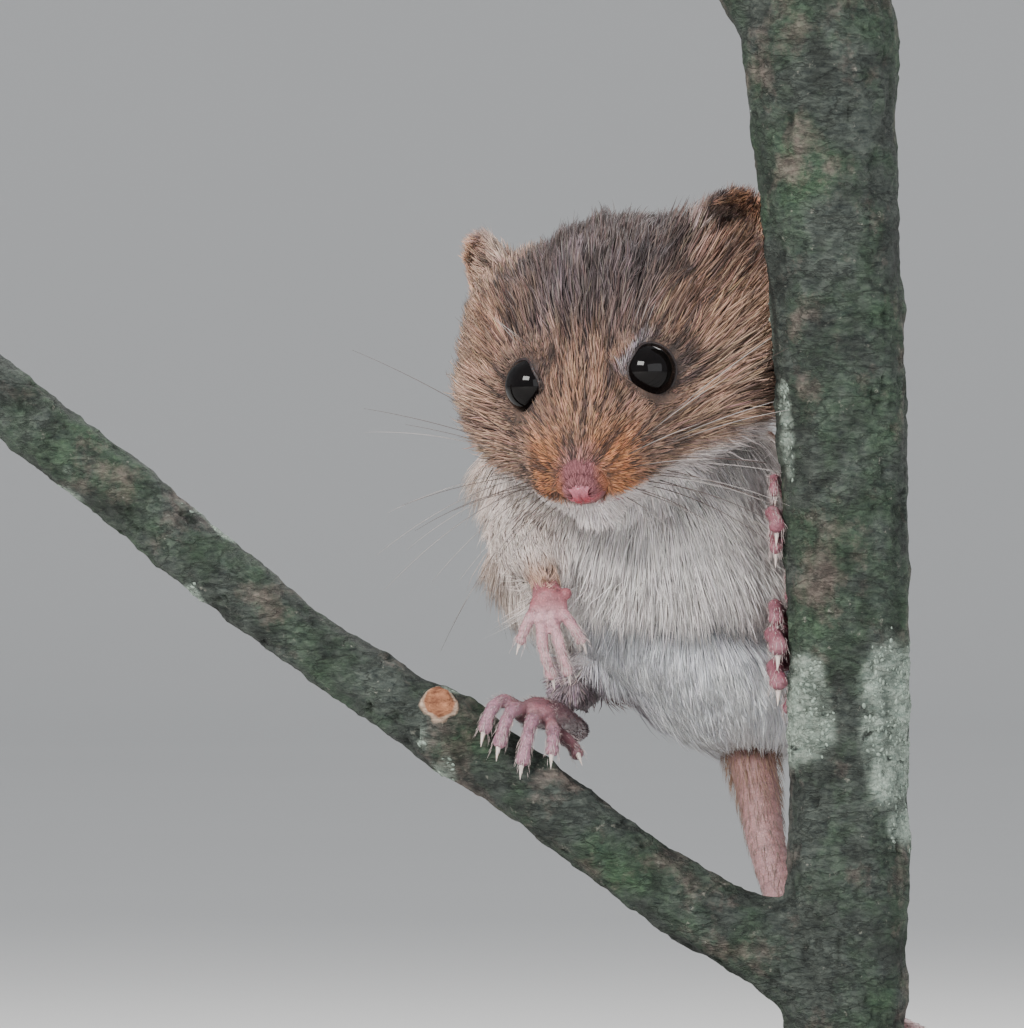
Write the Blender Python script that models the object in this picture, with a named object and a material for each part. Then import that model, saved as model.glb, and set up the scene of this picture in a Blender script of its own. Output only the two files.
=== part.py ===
"""A life-size harvest mouse that clings to a forked stem, held up by a plain stand.

Blender script, +Z up. Sizes below are in millimetres and are written to the meshes in metres.
The viewer stands at -Y: +X is the viewer's right, which is the mouse's left side.
Run it with blender --background --python part.py.
"""

import math

import bmesh
import bpy
from mathutils import Matrix, Vector

# Driving dimensions, in millimetres
MM = 0.001
GAP = 0.3
HEAD_HALF_WIDTH = 8.3
EYE_RADIUS = 1.42
EAR_HEIGHT = 6.1
TAIL_LENGTH = 56.0
STEM_TOP = 27.0
STEM_FOOT = -37.2
ROD_RADIUS = 1.2
ROD_LENGTH = 4.6
BASE_RADIUS = 23.0
BASE_THICKNESS = 4.0
BASE_CENTRE = (7.0, 6.0)

# How the head is held: the point midway between the eyes, and the turn, nod and tilt in degrees
EYES_MIDDLE = Vector((3.9, -1.0, 6.78))
HEAD_TURN = 11.0
HEAD_NOD = 27.0
HEAD_TILT = 8.0

COLOURS = {
    "coat": ((0.27, 0.17, 0.11), 0.85),
    "pale_coat": ((0.62, 0.60, 0.58), 0.85),
    "bare_skin": ((0.62, 0.36, 0.34), 0.55),
    "eye": ((0.008, 0.007, 0.010), 0.08),
    "tail_skin": ((0.42, 0.27, 0.25), 0.6),
    "bark": ((0.13, 0.13, 0.09), 0.9),
    "stand": ((0.16, 0.15, 0.14), 0.45),
}


def clear_scene():
    for obj in list(bpy.data.objects):
        bpy.data.objects.remove(obj)


def material(name):
    """The Principled material of one finish, made once."""
    found = bpy.data.materials.get(name)
    if found:
        return found
    colour, roughness = COLOURS[name]
    made = bpy.data.materials.new(name)
    made.use_nodes = True
    shader = made.node_tree.nodes["Principled BSDF"]
    shader.inputs["Base Color"].default_value = (*colour, 1.0)
    shader.inputs["Roughness"].default_value = roughness
    shader.inputs["Metallic"].default_value = 0.0
    return made


# Curves and rings


def smooth_rows(rows, steps):
    """Rows of numbers, with steps - 1 more between each two, on a Catmull-Rom curve."""
    rows = [[float(v) for v in row] for row in rows]
    made = []
    last = len(rows) - 1
    for i in range(last):
        before, here = rows[max(i - 1, 0)], rows[i]
        after, beyond = rows[i + 1], rows[min(i + 2, last)]
        for step in range(steps):
            t = step / steps
            made.append([
                0.5 * (2 * b + (c - a) * t + (2 * a - 5 * b + 4 * c - d) * t**2 + (3 * b - a - 3 * c + d) * t**3)
                for a, b, c, d in zip(before, here, after, beyond)
            ])
    made.append(rows[last])
    return made


def loft(rings, first=None, last=None):
    """A closed bmesh, in millimetres, through rings of equal count. An end is a pole, or a flat cap where none is given."""
    bm = bmesh.new()
    rows = [[bm.verts.new(p) for p in ring] for ring in rings]
    count = len(rows[0])
    for low, high in zip(rows, rows[1:]):
        for i in range(count):
            j = (i + 1) % count
            bm.faces.new((low[i], low[j], high[j], high[i]))
    for row, pole in ((rows[0], first), (rows[-1], last)):
        if pole is None:
            bm.faces.new(row)
            continue
        tip = bm.verts.new(pole)
        for i in range(count):
            bm.faces.new((row[i], row[(i + 1) % count], tip))
    bmesh.ops.recalc_face_normals(bm, faces=bm.faces)
    return bm


def tube(rows, sides, flat=1.0, blunt=0.6, extra=0.0):
    """A closed tube through rows of x, y, z and radius. flat squeezes it upright, and extra makes it fatter."""
    centres = [Vector(row[:3]) for row in rows]
    last = len(rows) - 1
    rings = []
    across = None
    for i, centre in enumerate(centres):
        along = (centres[min(i + 1, last)] - centres[max(i - 1, 0)]).normalized()
        if across is None:
            start = Vector((0, 0, 1)) if abs(along.z) < 0.9 else Vector((1, 0, 0))
            across = start - along * start.dot(along)
        else:
            across = across - along * across.dot(along)
        across.normalize()
        side = along.cross(across)
        radius = rows[i][3]
        rings.append([
            centre
            + across * ((radius * flat + extra) * math.cos(2 * math.pi * k / sides))
            + side * ((radius + extra) * math.sin(2 * math.pi * k / sides))
            for k in range(sides)
        ])
    ends = []
    for end, inward in ((0, 1), (last, last - 1)):
        out = (centres[end] - centres[inward]).normalized()
        ends.append(centres[end] + out * (rows[end][3] * blunt + extra))
    return loft(rings, *ends)


def ball(centre, radii, turn=None, rings=8, segments=12, extra=0.0):
    """An ellipsoid in millimetres. turn is a matrix whose columns are the directions of its radii."""
    bm = bmesh.new()
    bmesh.ops.create_uvsphere(bm, u_segments=segments, v_segments=rings, radius=1.0)
    bm.transform(Matrix.Diagonal((*(radius + extra for radius in radii), 1.0)))
    if turn:
        bm.transform(turn.to_4x4())
    bm.transform(Matrix.Translation(Vector(centre)))
    bmesh.ops.recalc_face_normals(bm, faces=bm.faces)
    return bm


def box(low, high):
    """A box in millimetres between two corners."""
    low, high = Vector(low), Vector(high)
    bm = bmesh.new()
    bmesh.ops.create_cube(bm, size=1.0)
    bm.transform(Matrix.Translation((low + high) / 2) @ Matrix.Diagonal((*(high - low), 1.0)))
    return bm


# Solids and cuts


def solid(name, bm, finish="coat"):
    """An object from a closed bmesh, its faces turned outwards. Both are in millimetres until settle makes them metres."""
    if bm.calc_volume(signed=True) < 0:
        bmesh.ops.reverse_faces(bm, faces=bm.faces)
    mesh = bpy.data.meshes.new(name)
    bm.to_mesh(mesh)
    bm.free()
    mesh.materials.append(material(finish))
    obj = bpy.data.objects.new(name, mesh)
    bpy.context.scene.collection.objects.link(obj)
    return obj


def tidied(mesh):
    """Whether a mesh is one or more closed surfaces, once its splinters are merged away."""
    bm = bmesh.new()
    bm.from_mesh(mesh)
    bmesh.ops.remove_doubles(bm, verts=bm.verts, dist=0.004)
    bmesh.ops.dissolve_degenerate(bm, edges=bm.edges, dist=0.002)
    bmesh.ops.triangulate(bm, faces=bm.faces)
    closed = bool(bm.faces) and all(edge.is_contiguous for edge in bm.edges)
    closed = closed and all(vert.is_manifold for vert in bm.verts)
    if closed:
        bm.to_mesh(mesh)
    bm.free()
    return closed


def apply_boolean(obj, operation, others):
    """Joins or cuts obj with other objects in one step, and removes them. MANIFOLD steps in where EXACT leaves a hole."""
    group = bpy.data.collections.new("tools")
    bpy.context.scene.collection.children.link(group)
    for other in others:
        group.objects.link(other)
    step = obj.modifiers.new("step", "BOOLEAN")
    step.operation = operation
    step.operand_type = "COLLECTION"
    step.collection = group
    for solver in ("EXACT", "MANIFOLD"):
        step.solver = solver
        graph = bpy.context.evaluated_depsgraph_get()
        made = bpy.data.meshes.new_from_object(obj.evaluated_get(graph))
        if tidied(made):
            break
    obj.modifiers.clear()
    obj.data = made
    for other in others:
        bpy.data.objects.remove(other)
    bpy.data.collections.remove(group)


def keep_largest(obj):
    """Drops every closed surface of obj but the one with the most volume."""
    bm = bmesh.new()
    bm.from_mesh(obj.data)
    left = set(bm.faces)
    shells = []
    while left:
        stack = [left.pop()]
        shell = list(stack)
        while stack:
            for edge in stack.pop().edges:
                for face in edge.link_faces:
                    if face in left:
                        left.remove(face)
                        stack.append(face)
                        shell.append(face)
        shells.append(shell)

    def volume(shell):
        total = 0.0
        for face in shell:
            corners = [loop.vert.co for loop in face.loops]
            for i in range(1, len(corners) - 1):
                total += corners[0].dot(corners[i].cross(corners[i + 1])) / 6
        return total

    shells.sort(key=volume, reverse=True)
    for shell in shells[1:]:
        bmesh.ops.delete(bm, geom=shell, context="FACES")
    loose = [v for v in bm.verts if not v.link_faces]
    bmesh.ops.delete(bm, geom=loose, context="VERTS")
    bm.to_mesh(obj.data)
    bm.free()


def node(name, finish, pieces, cuts=()):
    """One named node: closed pieces joined, less the closed shapes that are cut out of it."""
    objects = [solid(name if i == 0 else "piece", bm, finish) for i, bm in enumerate(pieces)]
    body = objects[0]
    if len(objects) > 1:
        apply_boolean(body, "UNION", objects[1:])
    for bm in cuts:
        apply_boolean(body, "DIFFERENCE", [solid("cut", bm, finish)])
    keep_largest(body)
    body.data.shade_smooth()
    body.data.set_sharp_from_angle(angle=math.radians(40))
    return body


# The forked stem

STEM_ROWS = (  # x, y, z and radius, from the cut foot up
    (16.25, 0.0, STEM_FOOT, 3.1),
    (16.5, 0.0, -30.0, 3.0),
    (16.6, 0.0, -24.5, 3.05),
    (16.8, 0.0, -19.0, 2.95),
    (16.8, 0.0, -9.0, 3.0),
    (16.7, 0.0, 0.7, 3.1),
    (16.2, 0.0, 10.5, 3.35),
    (15.6, 0.0, 19.5, 3.6),
    (15.35, 0.0, 23.0, 3.75),
    (15.2, 0.0, STEM_TOP, 3.7),
)
SIDE_STUB = ((14.9, 0.0, 21.0, 2.2), (13.4, 0.0, 24.2, 2.1), (11.3, 0.0, 28.0, 2.0))
BRANCH_ROWS = (  # from the fork out to the cut end
    (16.6, 0.0, -24.2, 2.9),
    (13.9, 0.1, -22.1, 2.35),
    (9.4, 0.4, -19.8, 1.95),
    (4.4, 0.9, -16.4, 1.75),
    (0.4, 1.3, -13.3, 1.8),
    (-2.1, 1.6, -11.6, 1.95),
    (-3.9, 1.8, -10.4, 1.9),
    (-5.6, 2.0, -9.4, 1.7),
    (-10.6, 2.5, -6.15, 1.5),
    (-15.6, 3.0, -2.15, 1.65),
    (-20.6, 3.4, 1.95, 1.75),
    (-27.2, 3.9, 7.0, 1.7),
)
TWIG_SCAR = ((-3.7, 1.4, -10.0, 1.0), (-3.65, -0.1, -9.45, 0.95), (-3.6, -0.55, -9.3, 0.8))


def stem_axis(height):
    """The stem's middle at a height, and its radius there."""
    for low, high in zip(STEM_ROWS, STEM_ROWS[1:]):
        if low[2] <= height <= high[2]:
            t = (height - low[2]) / (high[2] - low[2])
            x, y, _, radius = (a + (b - a) * t for a, b in zip(low, high))
            return Vector((x, y, height)), radius
    raise ValueError(height)


def round_stem(angle, height, off):
    """A point off millimetres out from the stem's bark. 90 degrees is its back and 180 its left."""
    middle, radius = stem_axis(height)
    turn = math.radians(angle)
    return middle + Vector((math.cos(turn), math.sin(turn), 0)) * (radius + off)


def knobbly(rows, swells):
    """Rows of a stem with its radius swollen in rings at the bud scars: (row place, how much)."""
    made = []
    for i, (x, y, z, radius) in enumerate(rows):
        swell = sum(size * math.exp(-((i - place) / 1.3) ** 2) for place, size in swells)
        made.append((x, y, z, radius + swell))
    return made


def stem_shape(extra=0.0):
    rows = knobbly(smooth_rows(STEM_ROWS, 2), ((2, 0.12), (6, 0.1), (11, 0.12), (16, 0.2)))
    return tube(rows, 18, blunt=0.0005, extra=extra)


def branch_shape(extra=0.0):
    rows = knobbly(smooth_rows(BRANCH_ROWS, 2), ((6, 0.08), (11, 0.12), (17, 0.12)))
    return tube(rows, 12, blunt=0.0005, extra=extra)


def build_perch():
    above = box((-40, -40, STEM_TOP), (60, 60, STEM_TOP + 20))
    stub = tube(smooth_rows(SIDE_STUB, 3), 12, blunt=0.2)
    node("perch_stem", "bark", [stem_shape(), stub], [above])
    scar = tube(TWIG_SCAR, 8, blunt=0.1)
    node("perch_branch", "bark", [branch_shape(), scar], [stem_shape(GAP)])


def build_stand():
    foot, _ = stem_axis(STEM_FOOT)
    rod_top = STEM_FOOT - GAP
    base_top = rod_top - ROD_LENGTH - GAP
    rod_rows = [(foot.x, foot.y, z, ROD_RADIUS) for z in (base_top + GAP, rod_top)]
    rod = node("stand_rod", "stand", [tube(rod_rows, 20, blunt=0.0005)])
    rim = 0.8
    rings = []
    for radius, z in (
        (BASE_RADIUS - rim / 2, base_top - BASE_THICKNESS),
        (BASE_RADIUS, base_top - BASE_THICKNESS + rim / 2),
        (BASE_RADIUS, base_top - rim),
        (BASE_RADIUS - rim, base_top),
    ):
        rings.append([
            (BASE_CENTRE[0] + radius * math.cos(t), BASE_CENTRE[1] + radius * math.sin(t), z)
            for t in (2 * math.pi * k / 48 for k in range(48))
        ])
    base = node("stand_base", "stand", [loft(rings)])
    return rod, base


# The head


def head_axes():
    """The head's own left, forward and up directions."""
    turn, nod, tilt = (math.radians(v) for v in (HEAD_TURN, HEAD_NOD, HEAD_TILT))
    left = Vector((math.cos(turn), -math.sin(turn), 0))
    level = Vector((-math.sin(turn), -math.cos(turn), 0))
    forward = level * math.cos(nod) - Vector((0, 0, math.sin(nod)))
    up = Vector((0, 0, math.cos(nod))) + level * math.sin(nod)
    return left * math.cos(tilt) + up * math.sin(tilt), forward, up * math.cos(tilt) - left * math.sin(tilt)


HEAD_LEFT, HEAD_FORWARD, HEAD_UP = head_axes()
HEAD_TURN_MATRIX = Matrix((HEAD_LEFT, HEAD_FORWARD, HEAD_UP)).transposed()

HEAD_SECTIONS = (  # forward, half width, top, widest height and bottom, from the nose back to the nape
    (6.3, 1.25, -1.7, -2.7, -3.7),
    (5.6, 2.15, -1.1, -3.0, -4.5),
    (4.6, 2.95, -0.5, -3.2, -5.2),
    (3.4, 3.65, 0.4, -3.3, -5.7),
    (2.0, 4.5, 1.4, -3.2, -6.1),
    (0.5, 5.55, 2.5, -2.9, -6.5),
    (-1.2, 6.5, 3.5, -2.6, -6.9),
    (-3.2, 7.4, 4.5, -2.2, -7.2),
    (-5.4, 8.05, 5.1, -1.7, -7.3),
    (-7.4, HEAD_HALF_WIDTH, 5.2, -1.2, -7.1),
    (-9.2, 7.7, 4.7, -0.9, -6.4),
    (-10.8, 6.3, 3.7, -0.8, -5.2),
    (-12.0, 4.3, 2.2, -0.8, -3.6),
    (-12.7, 2.0, 0.7, -0.8, -2.2),
)
NAPE_POLE = (0.0, -12.9, -0.8)
EYE_SIDE = 2.98
EYE_OUTWARD = (0.64, 0.68, 0.36)
NOSE_PAD = ((0.0, 6.25, -2.95), (1.0, 0.85, 0.9))
NOSTRIL = ((0.58, 6.88, -3.05), 0.22)
MOUTH_LINE = ((2.5, 2.6, -4.9), (2.1, 3.9, -4.65), (1.2, 5.3, -4.25), (0.0, 5.9, -4.05))
EAR_CENTRES = {-1: (5.45, -8.0, 0.8), 1: (6.1, -8.0, 1.65)}
EAR_HALF_WIDTH = 2.7
EAR_DEPTH = 1.5
EAR_WALL = 0.6


def head_at(side, forward, up):
    """A point of the head: how far to the mouse's left, forward and up from between its eyes."""
    return EYES_MIDDLE + HEAD_LEFT * side + HEAD_FORWARD * forward + HEAD_UP * up


def head_direction(side, forward, up):
    return (HEAD_LEFT * side + HEAD_FORWARD * forward + HEAD_UP * up).normalized()


def skull_shape(extra=0.0):
    """The head's outline to the tips of its coat, without the lids, mouth and nose."""
    sides = 24
    rings = []
    for forward, half, top, widest, bottom in smooth_rows(HEAD_SECTIONS, 2):
        ring = []
        for k in range(sides):
            turn = 2 * math.pi * k / sides
            rise = math.sin(turn)
            reach = ((top - widest) if rise > 0 else (widest - bottom)) + extra
            ring.append(head_at((half + extra) * math.cos(turn), forward, widest + reach * rise))
        rings.append(ring)
    tip = head_at(0, HEAD_SECTIONS[0][0] + 0.25 + extra, HEAD_SECTIONS[0][3])
    side, back, up = NAPE_POLE
    return loft(rings, tip, head_at(side, back - extra, up))


def chin_shape(extra=0.0):
    return ball(head_at(0, 4.2, -5.1), (1.25, 1.5, 0.65), HEAD_TURN_MATRIX, rings=7, segments=12, extra=extra)


def lid_ring(side):
    """The raised rim of the lids, a ring round the eye that faces out as the eye does."""
    outward = head_direction(side * EYE_OUTWARD[0], *EYE_OUTWARD[1:])
    centre = head_at(side * EYE_SIDE, 0, 0) + outward * 0.55
    across = outward.cross(Vector((0, 0, 1))).normalized()
    upward = across.cross(outward).normalized()
    bm = bmesh.new()
    major, minor = EYE_RADIUS + 0.28, 0.36
    rows = []
    for k in range(16):
        turn = 2 * math.pi * k / 16
        spoke = across * math.cos(turn) + upward * math.sin(turn)
        rows.append([
            bm.verts.new(centre + spoke * (major + minor * math.cos(roll)) + outward * (minor * math.sin(roll)))
            for roll in (2 * math.pi * j / 5 for j in range(5))
        ])
    for k, row in enumerate(rows):
        following = rows[(k + 1) % len(rows)]
        for j in range(5):
            i = (j + 1) % 5
            bm.faces.new((row[j], row[i], following[i], following[j]))
    bmesh.ops.recalc_face_normals(bm, faces=bm.faces)
    return bm


def eye_ball(side, extra=0.0):
    return ball(head_at(side * EYE_SIDE, 0, 0), (EYE_RADIUS,) * 3, rings=9, segments=14, extra=extra)


def nose_pad(extra=0.0):
    centre, radii = NOSE_PAD
    return ball(head_at(*centre), radii, HEAD_TURN_MATRIX, rings=10, segments=14, extra=extra)


def build_nose():
    (across, forward, up), radius = NOSTRIL
    pits = [ball(head_at(side * across, forward, up), (radius,) * 3, rings=5, segments=8) for side in (-1, 1)]
    groove_rows = [(*head_at(0, forward, up), 0.16) for forward, up in ((7.3, -2.9), (6.85, -3.55), (6.2, -4.0))]
    node("nose", "bare_skin", [nose_pad()], [*pits, tube(groove_rows, 6)])


def build_head():
    half_line = smooth_rows(MOUTH_LINE, 3)
    line = half_line + [(-side, forward, up) for side, forward, up in reversed(half_line[:-1])]
    groove = tube([(*head_at(*point), 0.24) for point in line], 6)
    sockets = [eye_ball(side, GAP) for side in (-1, 1)]
    pieces = [skull_shape(), chin_shape(), lid_ring(-1), lid_ring(1)]
    node("head", "coat", pieces, [groove, nose_pad(GAP), *sockets])


def build_ear(name, side):
    """A thin rounded cup that opens forward and outward, rooted in the head."""
    axis = head_direction(side * 0.42, -0.5, 0.78)
    facing = head_direction(side * 0.66, 0.68, 0.12)
    facing = (facing - axis * facing.dot(axis)).normalized()
    across = axis.cross(facing).normalized()
    out, forward, up = EAR_CENTRES[side]
    centre = head_at(side * out, forward, up)
    spokes, steps = 20, 4

    def point(spoke, share, wall):
        turn = 2 * math.pi * spoke / spokes
        wide = EAR_HALF_WIDTH * share * math.cos(turn)
        tall = EAR_HEIGHT / 2 * share * math.sin(turn)
        hollow = EAR_DEPTH * (1 - share**2) - 0.5 * share**2 * math.cos(turn) ** 2
        back = hollow + wall * (1 - 0.35 * share)
        return centre + across * wide + axis * tall - facing * back

    bm = bmesh.new()
    faces = []
    for wall in (0.0, EAR_WALL):
        middle = bm.verts.new(point(0, 0, wall))
        rows = [
            [bm.verts.new(point(spoke, step / steps, wall)) for spoke in range(spokes)]
            for step in range(1, steps + 1)
        ]
        faces.append((middle, rows))
    for middle, rows in faces:
        for k in range(spokes):
            j = (k + 1) % spokes
            bm.faces.new((middle, rows[0][k], rows[0][j]))
            for low, high in zip(rows, rows[1:]):
                bm.faces.new((low[k], high[k], high[j]))
                bm.faces.new((low[k], high[j], low[j]))
    front, back = faces[0][1][-1], faces[1][1][-1]
    for k in range(spokes):
        j = (k + 1) % spokes
        bm.faces.new((front[k], front[j], back[j], back[k]))
    bmesh.ops.recalc_face_normals(bm, faces=bm.faces)
    node(name, "coat", [bm], [skull_shape(GAP)])


# The body

BODY_SECTIONS = (  # height, middle in x, half width, front and back in y, from the neck down
    (9.0, 5.6, 3.2, 6.2, 12.6),
    (7.4, 5.8, 4.9, 4.6, 15.0),
    (5.6, 6.0, 6.3, 3.2, 16.8),
    (3.8, 6.1, 7.2, 1.8, 18.0),
    (1.9, 6.3, 7.8, 0.8, 19.0),
    (0.0, 6.7, 8.2, 0.1, 19.8),
    (-2.0, 7.3, 8.5, -0.2, 20.3),
    (-3.9, 7.9, 8.4, 0.3, 20.5),
)
BELLY_SECTIONS = (
    (-3.9, 8.0, 8.1, 1.3, 20.4),
    (-5.4, 8.6, 7.7, 1.6, 20.1),
    (-7.0, 9.5, 7.2, 1.9, 19.4),
    (-8.6, 10.4, 6.5, 2.6, 18.4),
    (-10.0, 11.0, 5.5, 3.7, 16.9),
    (-11.2, 11.4, 4.2, 5.1, 15.1),
    (-12.1, 11.6, 2.7, 6.9, 13.1),
)
RUMP_POLE = (11.7, 10.0, -12.6)
NECK_POLE = (5.5, 9.4, 9.6)
NECK_CUT = 4.6
WAIST_CUT = -3.9


def body_shape(sections, first=None, last=None, extra=0.0):
    sides = 28
    rings = []
    for height, middle, half, front, back in smooth_rows(sections, 2):
        centre, depth = (front + back) / 2, (back - front) / 2
        rings.append([
            (middle + (half + extra) * math.cos(t), centre + (depth + extra) * math.sin(t), height)
            for t in (2 * math.pi * k / sides for k in range(sides))
        ])
    if last:
        last = Vector(last) - Vector((0, 0, extra))
    return loft(rings, first, last)


def build_neck_and_chest(clear_of):
    low, high = NECK_CUT - GAP / 2, NECK_CUT + GAP / 2
    under = box((-40, -40, -60), (60, 60, high))
    over = box((-40, -40, low), (60, 60, 60))
    node("neck", "coat", [body_shape(BODY_SECTIONS, NECK_POLE)], [under, *clear_of()])
    thighs = [limb(RIGHT_THIGH, GAP), limb(LEFT_THIGH, GAP)]
    node("chest", "coat", [body_shape(BODY_SECTIONS, NECK_POLE)], [over, *clear_of(), *thighs])


def build_belly(clear_of):
    above = box((-40, -40, WAIST_CUT - GAP), (60, 60, 60))
    node("belly", "pale_coat", [body_shape(BELLY_SECTIONS, None, RUMP_POLE)], [above, *clear_of])


# Legs, paws and feet

RIGHT_FORELEG = (
    (2.9, 9.2, 2.2, 2.9),
    (1.4, 7.4, 0.4, 2.5),
    (0.55, 5.0, -1.1, 1.95),
    (1.0, 1.9, -2.0, 1.4),
    (1.55, -0.2, -3.1, 1.0),
    (1.75, -1.15, -4.0, 0.85),
)
LEFT_FORELEG = (
    (11.4, 9.4, 2.2, 2.9),
    (14.2, 10.0, 0.2, 2.5),
    (15.9, 9.6, -1.7, 1.9),
    (15.7, 7.3, -1.3, 1.3),
    (15.1, 5.5, -1.0, 0.95),
)
RIGHT_THIGH = (
    (5.8, 14.8, -4.2, 3.6),
    (4.8, 12.6, -4.5, 3.8),
    (4.2, 9.8, -4.8, 3.4),
    (4.2, 7.4, -5.4, 2.6),
)
RIGHT_SHANK = (
    (3.15, 6.5, -8.3, 1.55),
    (2.95, 8.5, -9.0, 1.45),
    (2.9, 10.5, -9.6, 1.25),
    (2.95, 11.9, -10.1, 1.1),
)
LEFT_THIGH = (
    (13.8, 14.8, -4.6, 3.6),
    (14.8, 12.6, -5.0, 3.7),
    (15.8, 9.9, -4.9, 3.2),
    (16.4, 8.6, -4.7, 2.6),
)
LEFT_SHANK = (
    (16.8, 8.8, -6.4, 1.9),
    (17.6, 9.9, -8.0, 1.6),
    (18.1, 10.6, -9.4, 1.2),
    (18.2, 10.5, -10.3, 1.0),
)

DANGLING_PALM = ((1.9, -1.75, -4.9), (1.3, 0.62, 1.15))
DANGLING_DIGITS = (
    ((0.95, -1.95, -5.1), (0.45, -2.25, -5.9), (0.2, -2.3, -6.45)),
    ((1.4, -2.0, -5.3), (1.6, -2.5, -6.9), (2.0, -2.3, -8.2)),
    ((2.15, -2.0, -5.3), (2.45, -2.5, -6.9), (2.72, -2.3, -8.05)),
    ((2.75, -1.95, -5.1), (3.25, -2.3, -5.95), (3.55, -2.2, -6.45)),
)
THUMB = ((2.6, -1.6, -4.3), (3.05, -1.75, -4.05))
GRIP_DIGITS = ((1.3, 180), (-0.55, 197), (-1.6, 186), (-3.0, 142))
GRIP_TOES = ((-3.9, 140), (-5.2, 186), (-6.7, 197), (-8.3, 195), (-9.7, 144))
BRANCH_TOES = (
    ((0.3, 1.9, -9.65), (-0.6, 0.3, -9.6), (-1.15, -0.55, -10.1), (-1.45, -0.9, -10.9)),
    ((0.6, 1.7, -9.8), (0.0, -0.1, -10.1), (-0.4, -0.85, -10.9), (-0.65, -1.05, -11.9)),
    ((1.2, 1.6, -10.2), (0.95, -0.1, -10.8), (0.65, -0.9, -11.7), (0.4, -1.05, -12.7)),
    ((1.7, 1.8, -10.6), (2.0, 0.1, -11.4), (2.15, -0.75, -12.0), (2.25, -1.0, -12.6)),
    ((2.2, 3.4, -10.9), (3.0, 2.3, -11.6), (3.3, 1.6, -12.1)),
)
GRIP_SOLE = (
    (18.2, 11.0, -11.0, 1.05),
    (18.5, 8.4, -10.2, 0.95),
    (18.35, 5.8, -8.4, 0.95),
    (16.9, 4.55, -7.3, 1.15),
    (15.0, 3.9, -6.8, 1.25),
    (14.1, 3.1, -6.7, 1.0),
)
BRANCH_SOLE = (
    (3.0, 12.6, -11.0, 0.95),
    (3.0, 9.8, -10.8, 0.9),
    (2.7, 6.8, -10.5, 0.9),
    (1.9, 3.8, -10.1, 1.0),
    (1.05, 1.9, -9.95, 1.05),
)
DIGIT_RADIUS = 0.36
TOE_RADIUS = 0.46


def digit(points, radius, sides=6):
    """One finger or toe with its pad and knuckle, and its claw, as two closed pieces."""
    rows = smooth_rows([(*p, 0) for p in points], 2)
    last = len(rows) - 1
    shaped = []
    for i, (x, y, z, _) in enumerate(rows):
        share = i / last
        girth = 1.0 - 0.12 * share + 0.16 * math.exp(-((share - 0.9) / 0.1) ** 2)
        shaped.append((x, y, z, radius * girth))
    tip, before = Vector(rows[-1][:3]), Vector(rows[-2][:3])
    along = (tip - before).normalized()
    claw = [
        (*(tip - along * 0.15), radius * 0.55),
        (*(tip + along * 0.35), radius * 0.42),
        (*(tip + along * 0.75 + Vector((0, 0, -0.12))), radius * 0.16),
    ]
    return [tube(shaped, sides), tube(claw, 4)]


def limb(rows, extra=0.0):
    return tube(smooth_rows(rows, 2), 12, extra=extra)


def dangling_palm(extra=0.0):
    centre, radii = DANGLING_PALM
    lean = Matrix.Rotation(math.radians(14), 3, "X") @ Matrix.Rotation(math.radians(4), 3, "Y")
    return ball(centre, radii, lean, rings=8, segments=12, extra=extra)


def gripping_palm(extra=0.0):
    turn = Matrix.Rotation(math.radians(28), 3, "Z")
    return ball(round_stem(118, -0.8, 0.95), (1.7, 0.85, 1.75), turn, rings=8, segments=12, extra=extra)


def gripping_sole(extra=0.0):
    return tube(smooth_rows(GRIP_SOLE, 2), 12, extra=extra)


def branch_sole(extra=0.0):
    return tube(smooth_rows(BRANCH_SOLE, 2), 12, flat=0.72, extra=extra)


def gripping(levels, start, root_height, radius):
    """Digits that run round the back of the stem from one palm to its left edge."""
    pieces = []
    for height, reach in levels:
        points = []
        for step in range(5):
            share = step / 4
            angle = start + (reach - start) * share
            level = root_height + (height - root_height) * min(1.0, 0.35 + share)
            points.append(tuple(round_stem(angle, level, GAP + radius)))
        pieces += digit(points, radius)
    return pieces


def build_paws_and_feet():
    pieces = [dangling_palm(), tube([(*p, 0.36) for p in THUMB], 6)]
    for points in DANGLING_DIGITS:
        pieces += digit(points, DIGIT_RADIUS)
    node("forepaw_right", "bare_skin", pieces)

    pieces = [gripping_palm(), *gripping(GRIP_DIGITS, 125, -0.8, DIGIT_RADIUS + 0.06)]
    node("forepaw_left", "bare_skin", pieces, [stem_shape(GAP)])

    pieces = [gripping_sole(), *gripping(GRIP_TOES, 118, -6.8, TOE_RADIUS + 0.1)]
    node("hind_foot_left", "bare_skin", pieces, [stem_shape(GAP)])

    pieces = [branch_sole()]
    for points in BRANCH_TOES:
        pieces += digit(points, TOE_RADIUS)
    node("hind_foot_right", "bare_skin", pieces, [branch_shape(GAP)])


def build_legs():
    head_cuts = [skull_shape(GAP), chin_shape(GAP)]
    node("foreleg_right", "coat", [limb(RIGHT_FORELEG)], [dangling_palm(GAP), *head_cuts])
    cuts = [gripping_palm(GAP), skull_shape(GAP), stem_shape(GAP)]
    node("foreleg_left", "coat", [limb(LEFT_FORELEG)], cuts)
    node("thigh_right", "coat", [limb(RIGHT_THIGH)], [branch_sole(GAP)])
    cuts = [gripping_sole(GAP), limb(LEFT_FORELEG, GAP), stem_shape(GAP)]
    node("thigh_left", "coat", [limb(LEFT_THIGH)], cuts)
    node("shank_right", "coat", [limb(RIGHT_SHANK)], [branch_sole(GAP), limb(RIGHT_THIGH, GAP)])
    cuts = [gripping_sole(GAP), limb(LEFT_THIGH, GAP), stem_shape(GAP)]
    node("shank_left", "coat", [limb(LEFT_SHANK)], cuts)


# The tail

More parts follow.
